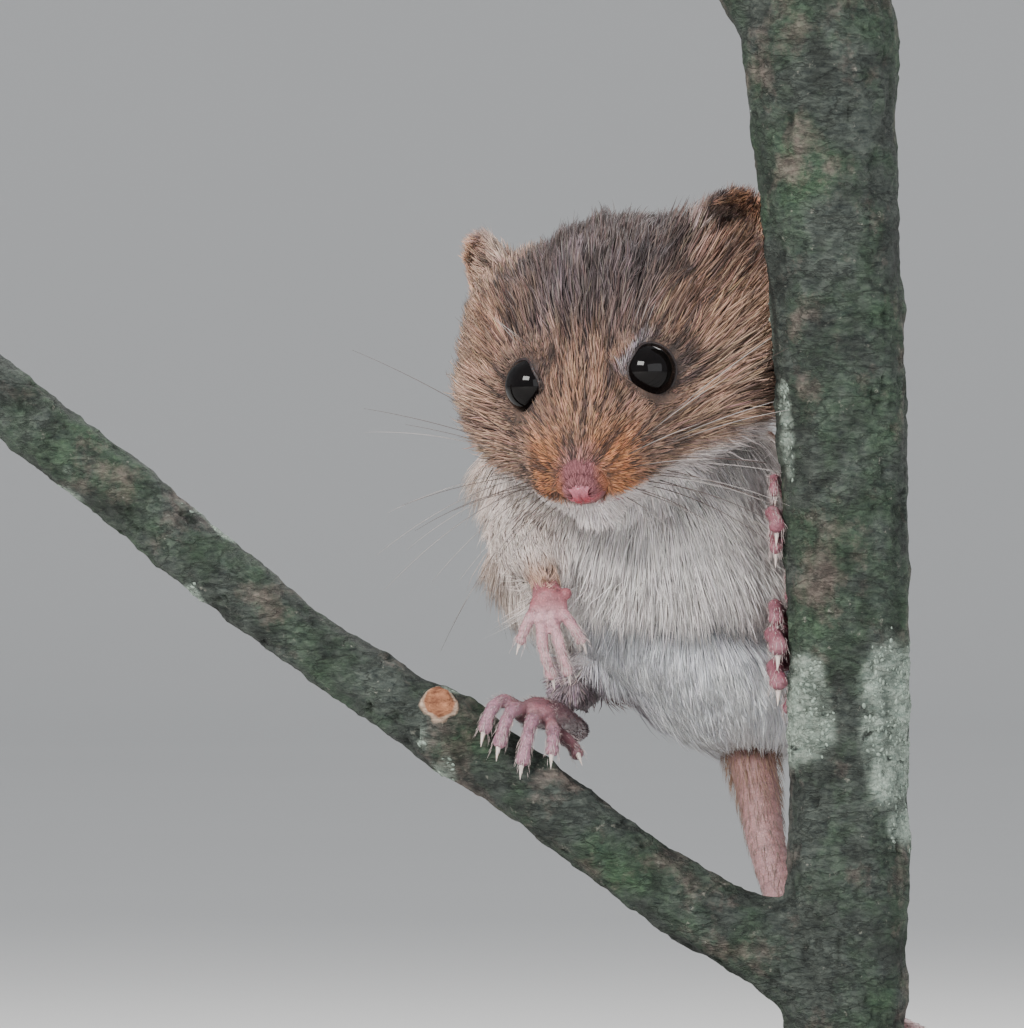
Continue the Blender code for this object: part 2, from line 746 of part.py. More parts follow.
TAIL_ROOT_ROWS = (  # x, y and z from inside the rump down to the back of the stem
    (11.9, 9.6, -10.6),
    (12.1, 8.6, -12.2),
    (12.5, 7.1, -14.6),
    (12.95, 5.7, -17.2),
    (14.0, 4.9, -20.2),
    (15.5, 4.5, -23.2),
)
TAIL_WRAP_START = (90, -25.3)
TAIL_PITCH = 6.4
TAIL_RADII = ((0.0, 1.5), (0.06, 1.15), (0.14, 0.95), (0.4, 0.82), (0.7, 0.62), (1.0, 0.34))
TAIL_PARTS = (0.0, 0.2, 0.4, 0.6, 0.8, 1.0)


def tail_radius(share):
    for (low, first), (high, second) in zip(TAIL_RADII, TAIL_RADII[1:]):
        if share <= high:
            return first + (second - first) * (share - low) / (high - low)
    return TAIL_RADII[-1][1]


def tail_line():
    """Evenly spaced points of the tail, which hangs behind the fork and then winds round the stem's foot."""
    start, height = TAIL_WRAP_START
    points = [Vector(p) for p in smooth_rows(TAIL_ROOT_ROWS, 4)]
    run = sum((b - a).length for a, b in zip(points, points[1:]))
    angle, share = start, run / TAIL_LENGTH
    while share < 1.0:
        point = round_stem(angle, height, GAP + tail_radius(share) + 0.05)
        run += (point - points[-1]).length
        points.append(point)
        share = run / TAIL_LENGTH
        angle -= 14
        height -= TAIL_PITCH * 14 / 360
    return points


def build_tail():
    line = tail_line()
    runs = [0.0]
    for a, b in zip(line, line[1:]):
        runs.append(runs[-1] + (b - a).length)
    total = runs[-1]
    for number, (low, high) in enumerate(zip(TAIL_PARTS, TAIL_PARTS[1:]), start=1):
        first, last = low * total + (GAP / 2 if low else 0), high * total - (GAP / 2 if high < 1 else 0)
        rows = []
        count = 9
        for step in range(count):
            at = first + (last - first) * step / (count - 1)
            k = max(i for i in range(len(runs) - 1) if runs[i] <= at + 1e-9)
            t = (at - runs[k]) / (runs[k + 1] - runs[k])
            rows.append((*line[k].lerp(line[k + 1], t), tail_radius(at / total)))
        piece = tube(rows, 12, blunt=0.6 if high == 1 else 0.0005)
        cuts = [body_shape(BELLY_SECTIONS, None, RUMP_POLE, GAP)] if number == 1 else []
        node(f"tail_{number}", "tail_skin", [piece], cuts)


def settle():
    """Makes millimetres metres, with the middle of the bottom of the whole bounding box at the origin."""
    corners = [v.co for obj in bpy.data.objects if obj.type == "MESH" for v in obj.data.vertices]
    low = Vector([min(c[i] for c in corners) for i in range(3)])
    high = Vector([max(c[i] for c in corners) for i in range(3)])
    shift = Matrix.Translation(-Vector(((low.x + high.x) / 2, (low.y + high.y) / 2, low.z)))
    for obj in bpy.data.objects:
        if obj.type == "MESH":
            obj.data.transform(Matrix.Scale(MM, 4) @ shift)


def main():
    clear_scene()
    build_perch()
    build_stand()
    for name, side in (("right", -1), ("left", 1)):
        node(f"eye_{name}", "eye", [eye_ball(side)])
        build_ear(f"ear_{name}", side)
    build_nose()
    build_head()
    build_paws_and_feet()
    build_legs()

    def round_the_chest():
        return [
            skull_shape(GAP),
            chin_shape(GAP),
            limb(RIGHT_FORELEG, GAP),
            limb(LEFT_FORELEG, GAP),
            gripping_palm(GAP),
            stem_shape(GAP),
        ]

    build_neck_and_chest(round_the_chest)
    build_belly([
        limb(RIGHT_THIGH, GAP),
        limb(LEFT_THIGH, GAP),
        limb(RIGHT_SHANK, GAP),
        limb(LEFT_SHANK, GAP),
        branch_sole(GAP),
        gripping_sole(GAP),
        limb(LEFT_FORELEG, GAP),
        stem_shape(GAP),
    ])
    build_tail()
    settle()


main()
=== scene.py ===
"""The looks of a life-size harvest mouse that clings to a forked stem on a plain stand.

Sizes in the tables are millimetres in the maker's frame, the one the part's source uses: x to the viewer's
right, z up, y away from the viewer, with the axis of the upright stem at y = 0. The mouse's left is at +x.
"""

import math

import bmesh
import bpy
import numpy as np
from mathutils import Matrix, Vector
from mathutils.bvhtree import BVHTree
from mathutils.kdtree import KDTree


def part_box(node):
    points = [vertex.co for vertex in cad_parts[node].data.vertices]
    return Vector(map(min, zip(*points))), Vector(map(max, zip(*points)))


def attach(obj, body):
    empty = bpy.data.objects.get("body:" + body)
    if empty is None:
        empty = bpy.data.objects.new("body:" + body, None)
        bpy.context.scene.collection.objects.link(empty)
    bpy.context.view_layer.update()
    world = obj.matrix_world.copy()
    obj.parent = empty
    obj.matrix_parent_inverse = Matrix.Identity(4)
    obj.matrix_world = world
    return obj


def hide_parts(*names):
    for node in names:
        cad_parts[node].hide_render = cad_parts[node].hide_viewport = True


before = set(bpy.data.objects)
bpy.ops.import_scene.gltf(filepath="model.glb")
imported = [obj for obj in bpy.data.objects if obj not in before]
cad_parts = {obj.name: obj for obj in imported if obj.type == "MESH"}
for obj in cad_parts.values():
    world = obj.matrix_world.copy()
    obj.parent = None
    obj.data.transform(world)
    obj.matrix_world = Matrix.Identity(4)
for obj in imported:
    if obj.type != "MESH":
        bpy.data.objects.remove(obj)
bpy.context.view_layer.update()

# Sizes that the solids were made from
GAP = 0.3
BASE_CENTRE = (7.0, 6.0)
BASE_TOP = -42.4
EYES_MIDDLE = np.array((3.9, -1.0, 6.78))
HEAD_TURN, HEAD_NOD, HEAD_TILT = 11.0, 27.0, 8.0
EYE_RADIUS = 1.42
EYE_SIDE = 2.98
EYE_OUTWARD = (0.64, 0.68, 0.36)
NOSE_MIDDLE = (0.0, 6.2, -3.0)
MOUTH_LINE = ((2.5, 2.6, -4.9), (2.1, 3.9, -4.65), (1.2, 5.3, -4.25), (0.0, 5.9, -4.05))
STEM_TOP = 27.0
STEM_FOOT = -37.2
STEM_X, STEM_HEIGHT, STEM_RADIUS = np.array((
    (16.25, -37.2, 3.1), (16.5, -30.0, 3.0), (16.6, -24.5, 3.05), (16.8, -19.0, 2.95), (16.8, -9.0, 3.0),
    (16.7, 0.7, 3.1), (16.2, 10.5, 3.35), (15.6, 19.5, 3.6), (15.35, 23.0, 3.75), (15.2, 27.0, 3.7),
)).T

# The maker's frame against the world: where the base of the stand ended up
low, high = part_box("stand_base")
SHIFT = Vector((
    (low.x + high.x) * 500 - BASE_CENTRE[0],
    (low.y + high.y) * 500 - BASE_CENTRE[1],
    high.z * 1000 - BASE_TOP,
))
TO_WORLD = Matrix.Scale(0.001, 4) @ Matrix.Translation(SHIFT)
TO_MAKER = TO_WORLD.inverted()
DICE = np.random.default_rng(20417)
SIDES = ((-1, "right"), (1, "left"))


# Numbers and noise over many points at once


def rise(value, low, high):
    """0 below low, 1 above high and smooth between. low may be the larger."""
    share = np.clip((value - low) / (high - low), 0.0, 1.0)
    return share * share * (3 - 2 * share)


def mixed(a, b, share):
    """a where share is 0 and b where it is 1. Colours and points take one share for their three numbers."""
    a, b, share = (np.asarray(value, float) for value in (a, b, share))
    if share.ndim and 3 in a.shape[-1:] + b.shape[-1:]:
        share = share[..., None]
    return a + (b - a) * share


def layers_of(colour, *layers):
    """A colour with others laid over it in turn: rows of colour, or what to darken it by, and share."""
    for over, share in layers:
        colour = mixed(colour, colour * over if isinstance(over, float) else over, share)
    return colour


def unit(vectors):
    return vectors / np.maximum(np.linalg.norm(vectors, axis=-1, keepdims=True), 1e-9)


def laid_flat(vectors, normals):
    """Vectors without what stands up from the surface that has these normals."""
    return vectors - normals * np.sum(vectors * normals, axis=-1, keepdims=True)


def away_from(points, place, stretch=1.0):
    """The distance of points from a place, where 1 is stretch millimetres along each axis."""
    return np.linalg.norm((points - np.asarray(place, float)) / stretch, axis=1)


def grain(points, size, seed=0):
    """Smooth noise from -1 to 1, whose lumps are about size across. size may differ along x, y and z."""
    scaled = points / np.asarray(size, float)
    cell = np.floor(scaled).astype(np.int64)
    part = scaled - cell
    ease = part * part * (3 - 2 * part)
    total = np.zeros(len(points))
    for corner in range(8):
        step = np.array([(corner >> axis) & 1 for axis in range(3)])
        at = cell + step
        key = (at[:, 0] * 73856093) ^ (at[:, 1] * 19349663) ^ (at[:, 2] * 83492791) ^ (seed * 374761393)
        key = ((key ^ (key >> 13)) * 1274126177) & 0xFFFFFFFF
        value = ((key ^ (key >> 16)) & 0xFFFF) / 32767.5 - 1.0
        total += value * np.prod(np.where(step, ease, 1 - ease), axis=1)
    return total


def layered(points, size, seed=0, layers=3):
    """Noise with finer noise on it."""
    size = np.asarray(size, float)
    return sum(grain(points, size / 2**i, seed + i) / 2**i for i in range(layers)) / 1.6


def smooth_rows(rows, steps):
    """Rows of numbers, with steps - 1 more between each two, on a smooth curve through them."""
    rows = [np.array(row, float) for row in rows]
    last = len(rows) - 1
    made = []
    for i in range(last):
        a, b, c, d = rows[max(i - 1, 0)], rows[i], rows[i + 1], rows[min(i + 2, last)]
        bend, twist = 2 * a - 5 * b + 4 * c - d, 3 * b - a - 3 * c + d
        for step in range(steps):
            t = step / steps
            made.append(0.5 * (2 * b + (c - a) * t + bend * t**2 + twist * t**3))
    made.append(rows[last])
    return made


# The head's own directions: to the mouse's left, forward and up


def head_axes():
    turn, nod, tilt = (math.radians(v) for v in (HEAD_TURN, HEAD_NOD, HEAD_TILT))
    left = np.array((math.cos(turn), -math.sin(turn), 0))
    level = np.array((-math.sin(turn), -math.cos(turn), 0))
    upright = np.array((0, 0, 1))
    forward = level * math.cos(nod) - upright * math.sin(nod)
    up = upright * math.cos(nod) + level * math.sin(nod)
    tilted_left = left * math.cos(tilt) + up * math.sin(tilt)
    tilted_up = up * math.cos(tilt) - left * math.sin(tilt)
    return np.array((tilted_left, forward, tilted_up))


HEAD_AXES = head_axes()


def head_at(side, forward, up):
    return EYES_MIDDLE + np.array((side, forward, up)) @ HEAD_AXES


def head_way(side, forward, up):
    return np.array((side, forward, up)) @ HEAD_AXES


def in_head(points):
    """Points as side, forward and up from between the eyes."""
    return (points - EYES_MIDDLE) @ HEAD_AXES.T


def eye_middle(side):
    return head_at(side * EYE_SIDE, 0, 0)


LID_OPENING = 67.0
LID_SHAPE = (  # place, width and size of each bend of the lids' edge, in degrees
    (10, 16, 2.0), (55, 26, -6.5), (140, 26, -2.0), (184, 36, 8.0),
)


def lid_angle(turn):
    """How far the lids open from the eye's gaze, in degrees. turn runs from straight up towards the nose."""
    turn = np.degrees(turn) % 360
    opening = LID_OPENING
    for middle, width, more in LID_SHAPE:
        opening = opening + more * np.exp(-(((turn - middle + 180) % 360 - 180) / width) ** 2)
    return opening


def eye_frame(side):
    """The ways out of an eye, up along its face and along its face towards the nose."""
    way = unit(head_way(side * EYE_OUTWARD[0], *EYE_OUTWARD[1:]))
    nasal = head_at(*NOSE_MIDDLE) - eye_middle(side)
    upward = unit(np.array((0, 0, 1.0)) - way * way[2])
    return way, upward, unit(nasal - way * nasal.dot(way) - upward * nasal.dot(upward))


def past_lids(points, side):
    """How many degrees points lie outside the opening of the lids, and how far from the eye's middle."""
    way, upward, nasal = eye_frame(side)
    out = points - eye_middle(side)
    reach = np.linalg.norm(out, axis=1)
    angle = np.degrees(np.arccos(np.clip(out @ way / np.maximum(reach, 1e-6), -1, 1)))
    return angle - lid_angle(np.arctan2(out @ nasal, out @ upward)), reach


def stem_axis(points):
    """The place on the upright stem's axis that is level with each point."""
    x = np.interp(points[:, 2], STEM_HEIGHT, STEM_X)
    return np.column_stack((x, np.zeros(len(points)), points[:, 2]))


def from_stem(points):
    """How far points lie from the bark of the upright stem."""
    x = np.interp(points[:, 2], STEM_HEIGHT, STEM_X)
    return np.hypot(points[:, 0] - x, points[:, 1]) - np.interp(points[:, 2], STEM_HEIGHT, STEM_RADIUS)


def round_stem(angle, height, off):
    """A point off millimetres out from the bark. 90 degrees is its back and 180 its left."""
    x = np.interp(height, STEM_HEIGHT, STEM_X)
    radius = np.interp(height, STEM_HEIGHT, STEM_RADIUS) + off
    turn = math.radians(angle)
    return np.array((x + math.cos(turn) * radius, math.sin(turn) * radius, height))


# Meshes


def put(name, data):
    """A new object in the scene."""
    made = bpy.data.objects.new(name, data)
    bpy.context.scene.collection.objects.link(made)
    return made


def result_of(carrier):
    """The plain mesh that an object's modifiers make of it."""
    graph = bpy.context.evaluated_depsgraph_get()
    return bpy.data.meshes.new_from_object(carrier.evaluated_get(graph))


def mesh_from(bm, name):
    mesh = bpy.data.meshes.new(name)
    bm.to_mesh(mesh)
    bm.free()
    return mesh


def new_mesh(name, points, faces):
    """A mesh in the maker's frame from an array of points and an array, or lists, of faces."""
    mesh = bpy.data.meshes.new(name)
    if not isinstance(faces, np.ndarray):
        mesh.from_pydata([tuple(p) for p in points], [], faces)
        return mesh
    count, corners = faces.shape
    mesh.vertices.add(len(points))
    mesh.vertices.foreach_set("co", np.ascontiguousarray(points, np.float32).ravel())
    mesh.loops.add(count * corners)
    mesh.loops.foreach_set("vertex_index", np.ascontiguousarray(faces, np.int32).ravel())
    mesh.polygons.add(count)
    mesh.polygons.foreach_set("loop_start", np.arange(0, count * corners, corners, dtype=np.int32))
    mesh.update(calc_edges=True)
    return mesh


def show_in_world(mesh, name, replaced=()):
    """Makes a mesh that already lies in the world a piece of the model."""
    mesh.polygons.foreach_set("use_smooth", np.full(len(mesh.polygons), True))
    mesh.name = name
    piece = put(name, mesh)
    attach(piece, "root")
    if replaced:
        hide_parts(*replaced)
    return piece


def show(mesh, name, finish, replaced=()):
    """Puts a finished mesh of the maker's frame into the world as a piece of the model."""
    mesh.transform(TO_WORLD)
    mesh.materials.clear()
    mesh.materials.append(finish)
    return show_in_world(mesh, name, replaced)


def read(items, key, width, kind=np.float32):
    """What is known of each point, edge or face of a mesh, as rows of width numbers."""
    found = np.zeros(len(items) * width, kind)
    items.foreach_get(key, found)
    return found.reshape(-1, width)


def points_of(mesh):
    return read(mesh.vertices, "co", 3).astype(float)


def normals_of(mesh):
    return read(mesh.vertex_normals, "vector", 3).astype(float)


def edges_of(mesh):
    return read(mesh.edges, "vertices", 2, np.int32)


def set_points(mesh, points):
    mesh.vertices.foreach_set("co", points.astype(np.float32).ravel())
    mesh.update()


def relaxed(values, edges, rounds, share=0.5, where=None):
    """Each value drawn towards the mean of its neighbours along the edges, again and again."""
    values = np.array(values, float)
    flat = values.reshape(len(values), -1)
    ends, others = np.concatenate([edges, edges[:, ::-1]]).T
    count = np.maximum(np.bincount(ends, minlength=len(flat)), 1)
    pull = share if where is None else share * where
    for _ in range(rounds):
        for k in range(flat.shape[1]):
            mean = np.bincount(ends, weights=flat[others, k], minlength=len(flat)) / count
            flat[:, k] += (mean - flat[:, k]) * pull
    return flat.reshape(values.shape)


def paint(mesh, colours):
    """A colour for each point of a mesh, or one for all, red, green and blue from 0 to 1."""
    layer = mesh.color_attributes.new("hair", "FLOAT_COLOR", "POINT")
    full = np.ones((len(mesh.vertices), 4), np.float32)
    full[:, :3] = np.clip(colours, 0, 1)
    layer.data.foreach_set("color", full.ravel())


def mark(mesh, name, values):
    """A number for each point of a mesh, or one for all, for its material to read."""
    layer = mesh.attributes.new(name, "FLOAT", "POINT")
    layer.data.foreach_set("value", np.broadcast_to(values, len(mesh.vertices)).astype(np.float32))


def cad_shapes(nodes, grow=0.0):
    """Some nodes' solids as one bmesh in the maker's frame, each grown a little so that no gap is left."""
    bm = bmesh.new()
    for node in nodes:
        part = bmesh.new()
        part.from_mesh(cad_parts[node].data)
        part.transform(TO_MAKER)
        bmesh.ops.remove_doubles(part, verts=part.verts, dist=0.002)
        bmesh.ops.recalc_face_normals(part, faces=part.faces)
        part.normal_update()
        for vert in part.verts:
            vert.co += vert.normal * grow
        mesh = mesh_from(part, "part")
        bm.from_mesh(mesh)
        bpy.data.meshes.remove(mesh)
    return bm


def remeshed(bm, cell):
    """One even skin round the closed shapes of a bmesh."""
    mesh = mesh_from(bm, "lump")
    lump = put("lump", mesh)
    step = lump.modifiers.new("skin", "REMESH")
    step.mode = "VOXEL"
    step.voxel_size = cell
    made = result_of(lump)
    bpy.data.objects.remove(lump)
    bpy.data.meshes.remove(mesh)
    return made


def ring_faces(rings, sides):
    """Quads between one ring of points and the next, and triangles to the two end points after the rings."""
    faces = []
    for start in range(0, (rings - 1) * sides, sides):
        for k in range(sides):
            j = (k + 1) % sides
            faces.append((start + k, start + j, start + sides + j, start + sides + k))
    last = (rings - 1) * sides
    for k in range(sides):
        j = (k + 1) % sides
        faces += [(j, k, rings * sides), (last + k, last + j, rings * sides + 1)]
    return faces


def circle(sides):
    """The cosine and the sine of even steps round a circle."""
    turn = 2 * np.pi * np.arange(sides) / sides
    return np.cos(turn), np.sin(turn)


def tube(rows, sides, flat=1.0, blunt=0.6):
    """Points and faces of a closed tube through rows of x, y, z and radius."""
    rows = np.array(rows, float)
    centres, radii = rows[:, :3], rows[:, 3]
    along = unit(np.gradient(centres, axis=0))
    across = np.zeros_like(centres)
    start = np.array((0, 0, 1.0)) if abs(along[0, 2]) < 0.9 else np.array((1.0, 0, 0))
    for i, way in enumerate(along):
        start = start - way * start.dot(way)
        start = start / np.linalg.norm(start)
        across[i] = start
    side = np.cross(along, across)
    cosine, sine = circle(sides)
    rings = (
        centres[:, None]
        + across[:, None] * (cosine[:, None] * radii[:, None, None] * flat)
        + side[:, None] * (sine[:, None] * radii[:, None, None])
    )
    ends = [centres[0] - along[0] * radii[0] * blunt, centres[-1] + along[-1] * radii[-1] * blunt]
    return np.concatenate([rings.reshape(-1, 3), ends]), ring_faces(len(rows), sides)


def add_shape(bm, points, faces):
    verts = [bm.verts.new(p) for p in points]
    made = [bm.faces.new([verts[i] for i in face]) for face in faces]
    bmesh.ops.recalc_face_normals(bm, faces=made)


def add_tube(bm, rows, sides, **settings):
    add_shape(bm, *tube(rows, sides, **settings))


def add_ball(bm, centre, radii, axes=None, segments=24, rings=16):
    """An ellipsoid. axes is a matrix whose rows are the directions of its radii."""
    points = []
    for i in range(1, rings):
        polar = math.pi * i / rings
        for k in range(segments):
            turn = 2 * math.pi * k / segments
            wide = math.sin(polar)
            points.append((wide * math.cos(turn), wide * math.sin(turn), math.cos(polar)))
    points = np.array([*points, (0, 0, 1), (0, 0, -1)]) * np.array(radii)
    if axes is not None:
        points = points @ np.array(axes)
    add_shape(bm, points + np.array(centre), ring_faces(rings - 1, segments))


# Node trees, and the shader groups that the finishes share


class Works:
    """Adds nodes to one tree. Each input is given a value or the socket of another node."""

    def __init__(self, tree):
        self.tree = tree

    def feed(self, socket, value):
        if isinstance(value, bpy.types.NodeSocket):
            self.tree.links.new(value, socket)
            return
        is_colour = isinstance(value, tuple) and socket.type == "RGBA"
        socket.default_value = (*value, 1.0) if is_colour else value

    def add(self, kind, values=None, **settings):
        """A node with its settings, and its inputs by name or number."""
        made = self.tree.nodes.new(kind if "Node" in kind else "ShaderNode" + kind)
        for key, value in settings.items():
            setattr(made, key, value)
        for key, value in (values or {}).items():
            self.feed(made.inputs[key], value)
        return made

    def group(self, tree, **values):
        return self.add("Group", values, node_tree=tree).outputs

    def mix(self, share, first, second, how="MIX"):
        return self.add("Mix", {0: share, 6: first, 7: second}, data_type="RGBA", blend_type=how).outputs[2]

    def sum_of(self, kind, *values):
        return self.add("Math", dict(enumerate(values)), operation=kind).outputs[0]

    def times(self, *values):
        return self.sum_of("MULTIPLY", *values)

    def fitted(self, value, factor, offset):
        return self.sum_of("MULTIPLY_ADD", value, factor, offset)

    def ramp(self, value, *stops):
        """A ramp of greys over a value: rows of place and grey."""
        made = self.add("ValToRGB", {0: value})
        line = made.color_ramp
        while len(line.elements) < len(stops):
            line.elements.new(0.5)
        for element, (place, grey) in zip(line.elements, stops):
            element.position = place
            element.color = (grey, grey, grey, 1)
        return made.outputs[0]

    def place(self):
        return self.add("TexCoord").outputs["Object"]

    def noise(self, place, scale, detail, **more):
        values = {key.capitalize(): value for key, value in more.items()}
        values = {"Vector": place, "Scale": scale, "Detail": detail, **values}
        return self.add("TexNoise", values).outputs["Fac"]

    def attribute(self, name, output="Fac"):
        return self.add("Attribute", attribute_name=name).outputs[output]


def new_group(name, inputs, outputs, kind="ShaderNodeTree"):
    """A node group. inputs and outputs are rows of name, kind and, for an input, its value."""
    tree = bpy.data.node_groups.new(name, kind)
    for label, socket_kind, value in inputs:
        socket = tree.interface.new_socket(label, in_out="INPUT", socket_type="NodeSocket" + socket_kind)
        if value is not None:
            socket.default_value = value
    for label, socket_kind in outputs:
        tree.interface.new_socket(label, in_out="OUTPUT", socket_type="NodeSocket" + socket_kind)
    works = Works(tree)
    return works, works.add("NodeGroupInput").outputs, works.add("NodeGroupOutput").inputs


def make_mottle():
    """Lighter and darker blotches, large and fine, over a colour."""
    inputs = (("Colour", "Color", (0.5, 0.5, 0.5, 1)), ("Size", "Float", 900.0), ("Depth", "Float", 0.3))
    works, given, made = new_group("mottle", inputs, (("Colour", "Color"), ("Mask", "Float")))
    wide = works.noise(works.place(), given["Size"], 5.0, roughness=0.6)
    mask = works.ramp(wide, (0.3, 0.0), (0.7, 1.0))
    dark = works.fitted(mask, given["Depth"], works.sum_of("SUBTRACT", 1.0, given["Depth"]))
    works.feed(made["Colour"], works.mix(1.0, given["Colour"], dark, "MULTIPLY"))
    works.feed(made["Mask"], mask)
    return works.tree


def make_pores():
    """The fine cells and folds of bare skin, as a height, and the creases between the cells, which the skin
    finish darkens as painted shade.
    """
    inputs = (("Size", "Float", 7000.0), ("Folds", "Float", 0.5))
    works, given, made = new_group("skin cells", inputs, (("Height", "Float"), ("Crease", "Float")))
    place = works.place()
    cells = works.add("TexVoronoi", {"Vector": place, "Scale": given["Size"]}, feature="DISTANCE_TO_EDGE")
    crease = works.ramp(cells.outputs["Distance"], (0.0, 0.0), (0.25, 1.0))
    folds = works.noise(place, 2400.0, 4.0, distortion=1.2)
    works.feed(made["Height"], works.fitted(folds, given["Folds"], works.times(crease, 0.5)))
    works.feed(made["Crease"], crease)
    return works.tree


def make_growth():
    """Patches with ragged edges, where something grows on the bark. More gives a larger share of it."""
    inputs = (("Size", "Float", 400.0), ("More", "Float", 0.5), ("Edge", "Float", 0.08))
    works, given, made = new_group("growth", inputs, (("Mask", "Float"), ("Height", "Float")))
    place = works.place()
    wide = works.noise(place, given["Size"], 8.0, roughness=0.68)
    over = works.sum_of("SUBTRACT", wide, works.sum_of("SUBTRACT", 1.0, given["More"]))
    mask = works.add("Clamp", {"Value": works.sum_of("DIVIDE", over, given["Edge"])}).outputs[0]
    works.feed(made["Mask"], mask)
    works.feed(made["Height"], works.times(mask, works.noise(place, 6000.0, 4.0)))
    return works.tree


def make_cracks():
    """Fine wandering cracks and creases that run round a stem, darker than 1 in their depth, for the painted
    shade in the bark's cracks.
    """
    inputs = (("Size", "Float", 900.0), ("Width", "Float", 0.04))
    works, given, made = new_group("bark cracks", inputs, (("Open", "Float"),))
    level = works.add("Mapping", {"Vector": works.place(), "Scale": (0.6, 0.6, 1.5)}).outputs[0]
    wander = works.noise(level, given["Size"], 6.0, roughness=0.6)
    off = works.sum_of("ABSOLUTE", works.sum_of("SUBTRACT", wander, 0.5))
    share = works.add("Clamp", {"Value": works.sum_of("DIVIDE", off, given["Width"])}).outputs[0]
    works.feed(made["Open"], share)
    return works.tree


MOTTLE = make_mottle()
PORES = make_pores()
GROWTH = make_growth()
CRACKS = make_cracks()


# Finishes


class Finish(Works):
    """A material whose Principled sockets are set by name, spaces written as underscores."""

    def __init__(self, name, **values):
        self.material = bpy.data.materials.new(name)
        self.material.use_nodes = True
        super().__init__(self.material.node_tree)
        self.shader = self.tree.nodes["Principled BSDF"].inputs
        for key, value in values.items():
            self.shader[key.replace("_", " ")].default_value = value

    def mottled(self, colour, size, depth):
        return self.group(MOTTLE, Colour=colour, Size=size, Depth=depth)["Colour"]

    def base(self, colour):
        self.feed(self.shader["Base Color"], colour)

    def bump(self, height, depth, share):
        made = self.add("Bump", {"Height": height, "Distance": depth, "Strength": share})
        self.feed(self.shader["Normal"], made.outputs["Normal"])


def make_coat_finish():
    finish = Finish("coat hair", Roughness=0.62, Specular_IOR_Level=0.22)
    finish.base(finish.mottled(finish.attribute("hair", "Color"), 1500.0, 0.16))
    return finish.material


def make_skin_finish():
    """The skin under the coat and on the bare paws, nose and tail. bare is 1 where no hair grows."""
    finish = Finish(
        "mouse skin", Specular_IOR_Level=0.4, Subsurface_Weight=0.12, Subsurface_Scale=0.5,
        Subsurface_Radius=(0.0012, 0.0004, 0.0002),
    )
    rich = finish.mottled(finish.attribute("hair", "Color"), 1100.0, 0.22)
    cells = finish.group(PORES, Size=6500.0, Folds=0.6)
    # painted shade: the colour darkened to 0.75 in the creases between the skin's cells
    finish.base(finish.mix(1.0, rich, finish.fitted(cells["Crease"], 0.25, 0.75), "MULTIPLY"))
    finish.feed(finish.shader["Roughness"], finish.fitted(finish.attribute("bare"), -0.3, 0.78))
    finish.bump(cells["Height"], 0.00005, 0.5)
    return finish.material


def make_eye_finish():
    finish = Finish("eye", Roughness=0.035, IOR=1.376, Specular_IOR_Level=0.26)
    finish.base(finish.mottled((0.004, 0.003, 0.003), 1800.0, 0.5))
    return finish.material


def make_horn_finish():
    finish = Finish(
        "claw horn", Roughness=0.3, Coat_Weight=0.3, Subsurface_Weight=0.2, Subsurface_Scale=0.3,
        Subsurface_Radius=(0.0006, 0.0003, 0.0002),
    )
    finish.base(finish.mottled(finish.attribute("hair", "Color"), 3000.0, 0.2))
    return finish.material


